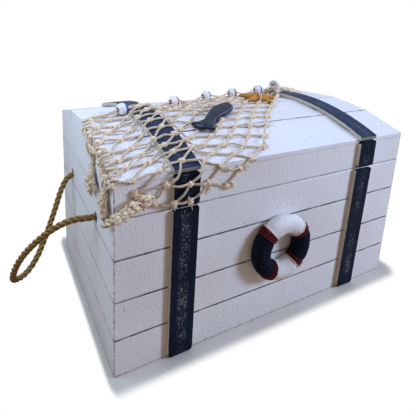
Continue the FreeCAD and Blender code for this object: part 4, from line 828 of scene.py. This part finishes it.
bow = random.normal(0.0, 0.0006, (len(starts), 1)) * np.sin(np.pi * share)
wave = random.normal(0.0, 0.00025, (len(starts), 1)) * np.sin(3 * np.pi * share)
flat = starts[:, None] + (stops - starts)[:, None] * share[:, None] + (bow + wave)[..., None] * leans[:, None]
hump = np.abs(random.normal(0.0, 0.0014, (len(starts), 1))) * np.sin(np.pi * share) ** 2
paths, facing = over_lid(flat, NET_CORD * 1.12 + hump)
gone = run_along(paths)
uneven_cord = NET_CORD * (1.0 + 0.06 * random.normal(0, 1, gone.shape))
outline, high = laid_strands(3, SIDES, gone, NET_LAY, uneven_cord)
tubes = carried(paths, outline, facing)
net_runs = gone[..., None] + random.uniform(0, 1, (len(gone), 1, 1))
# The third tone of each is the painted shade in the cord's grooves.
cotton = spun_fibre("cotton_yarn", paint_tone(255, 242, 223), paint_tone(240, 211, 176),
                    paint_tone(104, 62, 34), 0.0005)
knot_cotton = spun_fibre("cotton_knots", paint_tone(255, 243, 224), paint_tone(245, 217, 183),
                         paint_tone(110, 68, 38), 0.0005)
net = yarn_piece("net_cords", tubes, tube_faces(*gone.shape, SIDES), cotton, high, net_runs)
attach(net, "lid")
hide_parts("fishing_net")

# The net's knots: at each crossing two short turns of cord, drawn tight round each other.
KNOT_REACH = 0.00215
KNOT_ROWS = 12
KNOT_SIDES = 6


def tied_knots(name, seats, facings, size, material, seed):
    """Small knots of two crossed turns of cord each, at places with outward directions."""
    draw = np.random.default_rng(seed)
    count = len(seats)
    facings = np.broadcast_to(np.asarray(facings, dtype=float), (count, 3))
    turn = draw.uniform(0, 2 * np.pi, count)
    flat_way = unit(np.cross(facings, [0.13, 0.97, 0.2]))
    other_way = np.cross(facings, flat_way)
    around = np.linspace(0, 2 * np.pi, KNOT_ROWS, endpoint=False)
    spoke = np.arange(KNOT_SIDES) * np.pi / 3
    section = np.stack([np.cos(spoke), np.sin(spoke)], axis=-1) * size * 0.66
    rings = []
    for quarter in (0.0, 1.5):
        axis = flat_way * np.cos(turn + quarter)[:, None] + other_way * np.sin(turn + quarter)[:, None]
        cross = np.cross(axis, facings)
        reach = draw.uniform(0.85, 1.15, (count, 1, 1)) * size
        ring = (seats[:, None] + axis[:, None] * (0.0005 * np.sin(2 * around))[:, None]
                + reach * (cross[:, None] * np.cos(around)[:, None] * 1.2
                           + facings[:, None] * np.sin(around)[:, None] * 0.72))
        closed = np.concatenate([ring[:, -1:], ring, ring[:, :1]], axis=1)
        sections = np.broadcast_to(section, closed.shape[:2] + section.shape)
        rings.append(carried(closed, sections, axis[:, None])[:, 1:-1])
    points = np.concatenate(rings)
    faces = tube_faces(len(points), KNOT_ROWS, KNOT_SIDES, closed_rows=True)
    crest = 0.35 + 0.6 * np.abs(np.sin(around[:, None] * 3 + spoke))
    return yarn_piece(name, points, faces, material, crest, np.linspace(0, 1, KNOT_ROWS)[:, None])


centres = np.concatenate([lattice[held & ~bunched], np.concatenate(edge_knots), NET_OUTLINE[1:TOP_BORDER]])
seats, facing = over_lid(centres, np.full(len(centres), NET_CORD * 1.45))
knots = tied_knots("net_knots", seats, facing, KNOT_REACH, knot_cotton, 31)
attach(knots, "lid")

# Frayed ends: along the cut right and bottom edges the cords stop in short loose fibres.
cut_edge = [(15, -3), (14, -2), (13, -1), (12, 0), (11, 1), (10, 2), (9, 3), (8, 4), (7, 5), (6, 6), (5, 7),
            (4, 8), (3, 9), (2, 9), (1, 10), (0, 10)]
fray_starts = np.repeat(np.array([lattice[i + 4, j + 5] for i, j in cut_edge]), 5, axis=0)
outwards = np.repeat(np.array([(1.0, 0.25)] * 12 + [(0.7, -0.7)] + [(0.2, -1.0)] * 3), 5, axis=0)
outwards = outwards + random.normal(0.0, 0.38, outwards.shape)
fray_reach = random.uniform(0.0040, 0.0092, (len(fray_starts), 1))
share = np.linspace(0.0, 1.0, 9)
fray_flat = fray_starts[:, None] + outwards[:, None] * fray_reach[:, None] * share[:, None]
fray_flat[..., 1] += random.normal(0, 0.0008, (len(fray_starts), 1)) * share ** 2
fray_rise = 0.0016 + random.uniform(0.0, 0.0022, (len(fray_starts), 1)) * share
frays, facing = over_lid(fray_flat, fray_rise)


def cord_bundle(name, paths, radius, lay, material, reference, sides=9):
    """Many short laid cords as one piece, closed at their ends. The radius may differ by point."""
    gone = run_along(paths)
    number = np.arange(len(paths))[:, None]
    outline, high = laid_strands(3, sides, gone + number * 0.0031, lay, radius)
    points = carried(paths, outline, np.asarray(reference, dtype=float))
    return yarn_piece(name, points, tube_faces(*gone.shape, sides), material, high,
                      (gone + number * 0.37)[..., None])


thin = 0.0011 * (1.0 - 0.55 * share)
whiskers = cord_bundle("frayed_ends", frays, np.broadcast_to(thin, frays.shape[:2]), 0.009, cotton,
                       facing, sides=5)
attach(whiskers, "lid")
tufts = tied_knots("edge_tufts", frays[::2, 4], facing[::2, 4], 0.00145, cotton, 37)
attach(tufts, "lid")

# Tassels: past the left eave the lobes' cords are gathered by a knot and fall as frayed
# bunches of fibres against the end of the lid, the front one at the lid's very corner.
END_FACE = -HALF_LENGTH
LEFTWARD = (-1.0, 0.0, 0.0)
GATHERS = [  # y and z of the gathering knot, ends of the tassels
    ((-0.060, 0.2010), [(-0.0545, 0.1735), (-0.0625, 0.1760), (-0.0745, 0.1820)]),
    ((-0.1085, 0.1960), [(-0.1030, 0.1760), (-0.1095, 0.1720), (-0.1160, 0.1745)]),
]
random = np.random.default_rng(23)
share = np.linspace(0.0, 1.0, 24)
hang_paths, hang_radii, gather_seats = [], [], []
for (gather_y, gather_z), tails in GATHERS:
    gather_seats += [(END_FACE - 0.0032, gather_y + slip, gather_z + fall)
                     for slip, fall in ((0.0, 0.0), (0.0016, 0.0018), (-0.0018, -0.0012), (0.0006, -0.0032))]
    for tail_y, tail_z in tails:
        for strand in range(16):
            cord_like = strand < 7
            end = np.array([END_FACE - random.uniform(0.0016, 0.0058), tail_y + random.normal(0, 0.0038),
                            tail_z + random.uniform(-0.0045, 0.0050)])
            begin = np.array([END_FACE - random.uniform(0.0018, 0.0048), gather_y + random.normal(0, 0.0018),
                              gather_z + random.uniform(-0.001, 0.003)])
            path = begin + (end - begin) * share[:, None]
            path[:, 1] += (random.normal(0, 0.0020) * np.sin(np.pi * share)
                           + 0.0010 * np.sin(9 * share + strand))
            path[:, 1] += random.normal(0, 0.0022) * share ** 3
            path[:, 0] = np.minimum(path[:, 0] - 0.0012 * np.sin(np.pi * share), END_FACE - 0.0015)
            hang_paths.append(path)
            hang_radii.append((0.00125 if cord_like else 0.00066) * (1.0 - 0.35 * share ** 4))
tassels = cord_bundle("end_tassels", np.array(hang_paths), np.array(hang_radii), 0.0092, cotton,
                      (0.3, 1.0, 0.2), sides=7)
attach(tassels, "lid")
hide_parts("net_end_tassels")
strand_ends = np.array(hang_paths)
tail_knots = [strand_ends[strand, spot] - (0.0012, 0.0, 0.0) for strand in range(0, len(strand_ends), 3)
              for spot in random.integers(4, 22, 1)]
gather_seats = np.array(gather_seats)
tail_knots = tied_knots("tail_knots", np.array(tail_knots), LEFTWARD, 0.0016, cotton, 8)
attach(tail_knots, "lid")
end_knots = tied_knots("end_knots", gather_seats, LEFTWARD, 0.0022, knot_cotton, 5)
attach(end_knots, "lid")
# More of the mesh's cords come over the left eave beside one another and run to each gather.
DRAPE_SPREADS = ((-0.018, -0.088), (-0.080, -0.1265))
drape_flat = []
for ((gather_y, gather_z), tails), spread in zip(GATHERS, DRAPE_SPREADS):
    for begin_y in np.linspace(*spread, 8):
        begin_y = begin_y + random.normal(0, 0.0015)
        flat_x = np.linspace(-0.190 - random.uniform(0, 0.005), gather_z - EAVES - HALF_LENGTH, 24)
        fallen = np.clip((-HALF_LENGTH - flat_x) / (EAVES - gather_z), 0.0, 1.0)
        sway = 0.0018 * np.sin(share * np.pi * 2 + begin_y * 900)
        drape_y = begin_y + (gather_y - begin_y) * fallen ** 1.25 + sway * (1 - fallen)
        drape_flat.append(np.stack([flat_x, drape_y], axis=1))
drape_flat = np.array(drape_flat)
drape_rise = NET_CORD * 1.2 + random.uniform(0, 0.0012, (len(drape_flat), 1)) + 0.0006 * share
drape_paths, facing = over_lid(drape_flat, drape_rise)
drapes = cord_bundle("end_drapes", drape_paths, NET_CORD * 0.84, NET_LAY, cotton, facing, sides=7)
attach(drapes, "lid")
picked = random.integers(9, 20, len(drape_paths))
drape_knots = tied_knots("drape_knots", drape_paths[np.arange(len(drape_paths)), picked],
                         facing[np.arange(len(drape_paths)), picked], 0.0018, knot_cotton, 41)
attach(drape_knots, "lid")

# Rolled corner: the net's lowest corner is bunched up and runs round the front left corner
# of the lid, loose cords with many knots at the right and a frayed brush at the far end.
ROLL = [(-0.1640, -0.1312, 0.1955), (-0.1730, -0.1314, 0.1935), (-0.1840, -0.1318, 0.1880),
        (-0.1930, -0.1326, 0.1830), (-0.2030, -0.1322, 0.1785), (-0.2072, -0.1250, 0.1730),
        (-0.2068, -0.1150, 0.1665)]
path, run = smooth_path("roll_line", ROLL, 0.0012)
along_roll = run / run[-1]
body_of_roll = np.interp(along_roll, [0.0, 0.12, 0.35, 0.6, 0.85, 1.0],
                         [0.0042, 0.0052, 0.0046, 0.0030, 0.0018, 0.0012])
ROLL_CORDS = 15
ROLL_KNOTS = 30
BRUSH_FIBRES = 16
roll_cords = []
for strand in range(ROLL_CORDS):
    weave = 0.7 * np.sin(run * random.uniform(120, 260) + strand * 2)
    turn = strand * 2 * np.pi * 0.382 + run / 0.052 * 2 * np.pi + weave
    swelling = 1 + 0.16 * np.sin(run * 310 + strand * 1.7)
    off = body_of_roll * (0.35 + 0.65 * math.sqrt((strand + 0.5) / ROLL_CORDS)) * swelling
    spot = np.stack([off * np.cos(turn), off * np.sin(turn) * 0.85], axis=-1)[:, None]
    line = carried(path, spot, np.array([0.0, 0.0, 1.0]))[:, 0]
    first = random.integers(0, 9) if strand else 0
    last = len(line) - (random.integers(0, 12) if strand else 0)
    trimmed = line[first:last]
    at = np.linspace(0, len(trimmed) - 1, 64)
    roll_cords.append(points_at(at, np.arange(len(trimmed)), trimmed))
roll_cords = np.array(roll_cords)
off_front = np.minimum(roll_cords[..., 1], -0.1275)
roll_cords[..., 1] = np.where(roll_cords[..., 0] > END_FACE, off_front, roll_cords[..., 1])
roll = cord_bundle("rolled_corner", roll_cords, NET_CORD * 0.95, NET_LAY, cotton, (0.1, 0.2, 1.0), sides=7)
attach(roll, "lid")
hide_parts("net_front_roll")
draw = np.random.default_rng(3)
picked = (draw.beta(0.9, 1.5, ROLL_KNOTS) * 52 + 5).astype(int)
seats = roll_cords[np.arange(ROLL_KNOTS) % ROLL_CORDS, picked]
middle = roll_cords.mean(axis=0)[picked]
outward = unit(seats - middle + 1e-5)
roll_knots = tied_knots("roll_knots", seats + outward * 0.0008, outward, 0.0022, knot_cotton, 9)
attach(roll_knots, "lid")
loose_start = np.concatenate([seats, np.repeat(path[-2:-1], BRUSH_FIBRES, axis=0)])
end_way = (path[-1] - path[-4]) / np.linalg.norm(path[-1] - path[-4])
loose_way = np.concatenate([outward + draw.normal(0, 0.5, (ROLL_KNOTS, 3)),
                            end_way + draw.normal(0, 0.33, (BRUSH_FIBRES, 3))])
loose_way[:, 2] -= 0.2
loose_way = unit(loose_way)
fray_share = np.linspace(0.0, 1.0, 7)
loose_length = draw.uniform(0.0022, 0.0048, (len(loose_way), 1, 1)) * fray_share[:, None]
loose = loose_start[:, None] + loose_way[:, None] * loose_length
near_front = loose[:ROLL_KNOTS]
near_front[..., 1] = np.where(near_front[..., 0] > END_FACE, np.minimum(near_front[..., 1], -0.1268),
                              near_front[..., 1])
loose_radius = np.broadcast_to(0.00065 * (1 - 0.55 * fray_share), loose.shape[:2])
roll_frays = cord_bundle("roll_frays", loose, loose_radius, 0.009, cotton, (0.31, 0.2, 0.9), sides=5)
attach(roll_frays, "lid")

# Beads: five turned wooden beads, white with a painted band towards their right end, and
# brown bare wood round the bore. A thin cotton cord strings them along the net's back edge.
BEADS = {
    "blue": [((-0.1515, 0.00364, 0.24282), 16.7), ((-0.01, 0.05264, 0.23867), 17.0),
             ((0.09, 0.06087, 0.24068), 0.0)],
    "maroon": [((-0.0735, 0.02714, 0.24083), 19.0), ((0.042, 0.06264, 0.23782), 5.5)],
}
BAND_PAINT = {"blue": paint_tone(22, 84, 168), "maroon": paint_tone(124, 12, 42)}
profile_turn = np.linspace(-1.0, 1.0, 17)
outer = np.stack([0.0067 * profile_turn, np.sqrt(1 - (profile_turn * 0.9) ** 2) * 0.0075], axis=1)
lip = np.array([(0.00675, 0.0027), (0.0063, 0.0023), (0.0055, 0.0022), (0.0, 0.0022), (-0.0055, 0.0022),
                (-0.0063, 0.0023), (-0.00675, 0.0027)])
profile = np.vstack([outer, lip])
around = np.radians(np.arange(0, 360, 11.25))
ring_x, ring_turn = np.meshgrid(profile[:, 0], around, indexing="ij")
ring_radius = np.repeat(profile[:, 1:], len(around), axis=1)
for colour, beads in BEADS.items():
    material, place, paint = fresh_material(colour + "_beads")
    along = shown(place, "along")
    reach = shown(place, "reach")
    wobble = (cloudy(place, 420.0, 2.0) - 0.5) * 0.0016
    band = ramped(along + wobble, 0.0007, 0.0010) * ramped(along + wobble, 0.0064, 0.0061)
    bare = ramped(reach + wobble * 0.4, 0.0034, 0.0028)
    dusty = cloudy(place, 300.0, 3.0)
    tone = mixed(ramped(dusty, 0.45, 0.8) * 0.5, paint_tone(236, 232, 232), paint_tone(205, 196, 192))
    tone = mixed(band, tone, BAND_PAINT[colour])
    feed(paint["Base Color"], mixed(bare, tone, paint_tone(96, 60, 34)))
    feed(paint["Roughness"], 0.3 + dusty * 0.2)
    feed(paint["Normal"], bumped(dusty, 0.0002, 0.5))
    points = []
    for centre, turn in beads:
        turn = math.radians(turn)
        side = ring_radius * np.cos(ring_turn)
        points.append(np.stack([centre[0] + ring_x * math.cos(turn) - side * math.sin(turn),
                                centre[1] + ring_x * math.sin(turn) + side * math.cos(turn),
                                centre[2] + ring_radius * np.sin(ring_turn)], axis=2).reshape(-1, 3))
    faces = tube_faces(len(beads), *ring_x.shape, closed_rows=True)
    bead_piece = make_piece(colour + "_beads", np.concatenate(points), faces, material,
                            along=np.tile(ring_x.ravel(), len(beads)),
                            reach=np.tile(ring_radius.ravel(), len(beads)))
    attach(bead_piece, "lid")
    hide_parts(colour + "_striped_beads")
BEAD_LINE = [
    (-0.193, -0.00785, 0.23905), (-0.176, -0.00435, 0.2383), (-0.1615, 0.0007, 0.24282),
    (-0.1415, 0.0066, 0.24282), (-0.1300, 0.0110, 0.2390), (-0.0960, 0.0212, 0.2373),
    (-0.0834, 0.0237, 0.24083), (-0.0636, 0.0306, 0.24083), (-0.0520, 0.0360, 0.2362),
    (-0.0310, 0.0450, 0.2350), (-0.0196, 0.0497, 0.23867), (-0.0004, 0.0556, 0.23867),
    (0.0090, 0.0585, 0.2351), (0.0230, 0.0605, 0.2339), (0.0322, 0.0617, 0.23782), (0.0518, 0.0636, 0.23782),
    (0.0610, 0.0640, 0.2345), (0.0720, 0.0622, 0.2350), (0.0802, 0.0609, 0.24068), (0.0998, 0.0609, 0.24068),
    (0.1120, 0.0618, 0.2385), (0.1290, 0.0622, 0.2392), (0.146, 0.0620, 0.23826), (0.166, 0.0602, 0.23261),
    (0.184, 0.06063, 0.23187),
]
path, run = smooth_path("bead_line", BEAD_LINE, 0.0011)
string = rope_piece("bead_string", path, run, 9, 0.0092, 0.00145, (0.0, 0.0, 1.0), cotton)
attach(string, "lid")
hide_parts("bead_cord")
STRING_KNOTS = 14
past_strap = path[(path[:, 0] > 0.112) & (path[:, 0] < 0.172)]
picked = np.linspace(0, len(past_strap) - 1, STRING_KNOTS).astype(int)
string_seats = past_strap[picked] + random.normal(0, 0.0008, (STRING_KNOTS, 3)) + (0, 0, 0.0008)
string_knots = tied_knots("string_knots", string_seats, (0.0, 0.0, 1.0), 0.0029, knot_cotton, 17)
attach(string_knots, "lid")

# Fish: a flat figure sawn from thin board, painted navy, with a planed edge round its top that is
# painted lighter, partly as wear and partly as a painted highlight. It lies glued on the net on the second
# stave.
STAVE_TILT = 4.8417
FISH_PLANE_Y = -0.0639106
FISH_PLANE_Z = 0.230086
FISH_OUTLINE = [
    (-92, -61), (-89.5, -63), (-86.7, -69.8), (-79.9, -71.1), (-76.5, -74.1), (-70.9, -78.6), (-66.5, -71),
    (-62.7, -64.4), (-55.4, -55.3), (-42.6, -45.2), (-29.6, -38.1), (-18.5, -29.5), (-11, -22), (-7, -12.5),
    (-7.4, -5.3), (-14.5, -3.8), (-27.3, -9.3), (-41.6, -18.3), (-56.1, -34), (-68.4, -48.8), (-78, -55.5),
    (-86.4, -58.6),
]


def rounded_loop(corners, per_corner):
    """A smooth closed line through corner points."""
    corners = np.asarray(corners, dtype=float)
    before, here, after, beyond = [np.roll(corners, shift, axis=0)[:, None] for shift in (1, 0, -1, -2)]
    t = (np.arange(per_corner) / per_corner)[None, :, None]
    line = 0.5 * (2 * here + (after - before) * t + (2 * before - 5 * here + 4 * after - beyond) * t ** 2
                  + (3 * here - before - 3 * after + beyond) * t ** 3)
    return line.reshape(-1, 2)


def inset_loop(loop, distance):
    """A closed line moved inwards; the loop runs anticlockwise."""
    way = unit(np.roll(loop, -1, axis=0) - np.roll(loop, 1, axis=0))
    return loop + np.stack([-way[:, 1], way[:, 0]], axis=1) * distance


def tilted(points, origin, tilt_degrees):
    """Places from a plane's own x, y and height, with the plane turned about X at its origin."""
    tilt = math.radians(tilt_degrees)
    x, y, z = points[..., 0], points[..., 1], points[..., 2]
    return np.stack([x + origin[0], origin[1] + y * math.cos(tilt) - z * math.sin(tilt),
                     origin[2] + y * math.sin(tilt) + z * math.cos(tilt)], axis=-1)


fish_loop = rounded_loop(FISH_OUTLINE, 6) / 1000
fish_loop[:, 1] = (fish_loop[:, 1] - FISH_PLANE_Y) / math.cos(math.radians(STAVE_TILT))
x, y = fish_loop.T
area = 0.5 * np.sum(x * np.roll(y, -1) - np.roll(x, -1) * y)
fish_loop = fish_loop if area > 0 else fish_loop[::-1]
levels = [(0.0006, 0.0), (0.0, 0.0005), (0.0, 0.0036), (0.0003, 0.0042), (0.0014, 0.0051),
          (0.0019, 0.0054), (0.0022, 0.0055)]
rings = np.stack([np.column_stack([inset_loop(fish_loop, inset), np.full(len(fish_loop), level + 0.003)])
                  for inset, level in levels])
fish_points = tilted(rings, (0.0, FISH_PLANE_Y, FISH_PLANE_Z), STAVE_TILT)
rows, columns = rings.shape[:2]
painted, place, coat = fresh_material("fish_navy")
edge = shown(place, "edge")
strokes = cloudy(stretched(place, (260.0, 700.0, 260.0)), 1.0, 4.0, 0.6)
patches = cloudy(place, 90.0, 3.0)
colour = mixed(ramped(patches, 0.4, 0.75) * 0.5, paint_tone(13, 21, 41), paint_tone(21, 32, 58))
# The planed edge is painted lighter in brushed streaks: partly wear, partly a painted highlight.
colour = mixed(edge * ramped(strokes + patches * 0.4, 0.5, 0.8) * 0.6, colour, paint_tone(104, 114, 142))
feed(coat["Base Color"], colour)
feed(coat["Roughness"], 0.55 + strokes * 0.25)
coat["Specular IOR Level"].default_value = 0.25
feed(coat["Normal"], bumped(strokes + patches * 0.4, 0.00035, 0.7))
edge_share = np.repeat([0.0, 0.0, 0.2, 1.0, 1.0, 0.4, 0.0], columns)
fish = make_piece("fish_figure", fish_points, tube_faces(1, rows, columns), painted, edge=edge_share)
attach(fish, "lid")
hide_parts("wooden_fish")

# Starfish: a small dried five-armed starfish, ochre and rough, ridged along its arms. A
# doubled cotton thread over its middle ties it to the net.
STAR_MIDDLE = (0.0615, 0.020)
STAR_TURN = 277.0
STAR_LIFT = 0.0032
STAR_LEAN = 0.09
turn, share = np.meshgrid(np.radians(np.arange(0, 360, 2.0)), np.linspace(1.0, 0.0, 26)[:-1], indexing="xy")
off_arm = np.abs((np.degrees(turn) - STAR_TURN + 36.0) % 72.0 - 36.0) / 36.0
reach = 0.0135 + (0.0308 - 0.0135) * np.clip(1.0 - off_arm, 0, 1) ** 1.75
ridge = np.exp(-(off_arm * (0.35 + share * 1.6)) ** 2 * 2.2)
body = np.clip(1.0 - share ** 5.0, 0, 1) ** 0.6
star_height = 0.0006 + 0.0074 * body * (0.55 + 0.45 * ridge) * (1.0 - 0.42 * share)
star_height += 0.00035 * np.sin(turn * 40 + share * 31) * np.sin(share * 47) * body
leaning = STAR_LIFT + STAR_LEAN * reach * share * np.sin(turn)
top = np.stack([STAR_MIDDLE[0] + reach * share * np.cos(turn), STAR_MIDDLE[1] + reach * share * np.sin(turn),
                star_height + leaning], axis=-1)
bottom = top[0] - (0, 0, 0.0005)
pole = np.array([[STAR_MIDDLE[0], STAR_MIDDLE[1], STAR_LIFT + star_height[-1].mean() + 0.0001]])
star_rings = np.concatenate([bottom[None], top])
rows, columns = star_rings.shape[:2]
star_points = tilted(np.concatenate([star_rings.reshape(-1, 3), pole]), (0.0, 0.0, LID_TOP), -STAVE_TILT)
last = (rows - 1) * columns + np.arange(columns)
cap = np.stack([last, np.roll(last, -1), np.full(columns, rows * columns)], axis=1)
ochre, place, skin = fresh_material("dried_starfish")
grains = place.node("ShaderNodeTexVoronoi", {0: place, 2: 900.0}, output=0)
patches = cloudy(place, 160.0, 3.0)
colour = mixed(ramped(patches, 0.35, 0.7), paint_tone(208, 140, 38), paint_tone(170, 102, 20))
colour = mixed(ramped(grains, 0.25, 0.6) * 0.6, paint_tone(206, 148, 60), colour)
# Painted shade: the low sides of the body and arms are darkened to brown.
colour = mixed(ramped(shown(place, "low"), 0.35, 0.95) * 0.8, colour, paint_tone(104, 62, 12))
feed(skin["Base Color"], colour)
feed(skin["Roughness"], 0.7 + patches * 0.2)
feed(skin["Normal"], bumped(1.0 - grains + patches * 0.5, 0.0005, 0.8))
shade_on_low_parts = 1.0 - np.concatenate([[0.0] * columns, (star_height / star_height.max()).ravel(), [1.0]])
star_faces = [grid_faces(rows, columns), cap, end_faces(rows, columns)[0]]
star = make_piece("starfish_body", star_points, star_faces, ochre, low=shade_on_low_parts)
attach(star, "lid")
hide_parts("starfish")
share = np.linspace(-1.0, 1.0, 40)
tie_paths = []
for shift in (-0.0012, 0.0012):
    over = STAR_LIFT + 0.0091 - 0.0072 * np.abs(share) ** 2.6 + STAR_LEAN * 0.013 * share
    flat = np.stack([STAR_MIDDLE[0] + shift + 0.0032 * share, STAR_MIDDLE[1] + 0.0135 * share, over], axis=-1)
    tie_paths.append(tilted(flat, (0.0, 0.0, LID_TOP), -STAVE_TILT))
tie = cord_bundle("star_tie", np.array(tie_paths), 0.0011, 0.007, cotton, (1.0, 0.0, 0.05))
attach(tie, "lid")
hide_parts("starfish_tie")

# Shell: a small turban shell on the net's corner by the right slat. Its low spire with a tan
# rim turns to the left, its grey-white body whorl to the right.
SHELL_MIDDLE = np.array([0.1147, 0.0515, 0.2482])
SHELL_SIZE = np.array([0.0195, 0.0165, 0.0165])


def turned_pairs(pairs, degrees):
    """Pairs of coordinates turned from the first towards the second by an angle."""
    angle = math.radians(degrees)
    return pairs @ np.array([[math.cos(angle), math.sin(angle)], [-math.sin(angle), math.cos(angle)]])


whorl, around = np.meshgrid(np.linspace(0.0, 2 * np.pi * 3.6, 160),
                            np.linspace(0, 2 * np.pi, 24, endpoint=False), indexing="ij")
grow = np.exp(0.092 * (whorl - whorl.max()))
ribs = 1.0 + 0.03 * np.sin(whorl * 9)
tube = grow * 0.40 * ribs
shell_x = 1.75 * (1.0 - grow) + tube * np.cos(around) * 0.95
shell_r = grow * 0.42 + tube * np.sin(around)
shell_points = np.stack([-shell_x, shell_r * np.cos(whorl), shell_r * np.sin(whorl)], axis=-1)
shell_points[..., ::2] = turned_pairs(shell_points[..., ::2], -24.0)
shell_points[..., :2] = turned_pairs(shell_points[..., :2], 38.0)
low, high = shell_points.reshape(-1, 3).min(axis=0), shell_points.reshape(-1, 3).max(axis=0)
shell_points = (shell_points - (low + high) / 2) / (high - low) * SHELL_SIZE + SHELL_MIDDLE
pearl, place, skin = fresh_material("shell_cream")
old = shown(place, "old")
seam = shown(place, "seam")
bands = cloudy(stretched(place, (160.0, 700.0, 500.0)), 1.0, 3.0)
tone = mixed(ramped(bands, 0.45, 0.75) * 0.6, paint_tone(232, 228, 230), paint_tone(196, 188, 192))
tan_rim = ramped(old + (bands - 0.5) * 0.1, 0.42, 0.50) * ramped(old, 0.82, 0.74) * ramped(seam, 0.2, 0.5)
tone = mixed(tan_rim * 0.9, tone, paint_tone(176, 122, 72))
# Painted shade: a dark grey line along the groove where one whorl meets the next.
feed(skin["Base Color"], mixed(ramped(seam, 0.06, 0.0) * 0.8, tone, paint_tone(84, 76, 80)))
feed(skin["Roughness"], 0.32 + bands * 0.2)
feed(skin["Normal"], bumped(bands, 0.0003, 0.5))
shell = make_piece("turban_shell", shell_points, tube_faces(1, *whorl.shape), pearl, old=1.0 - grow,
                   seam=(1.0 + np.cos(around)) / 2)
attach(shell, "lid")
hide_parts("sea_shell")
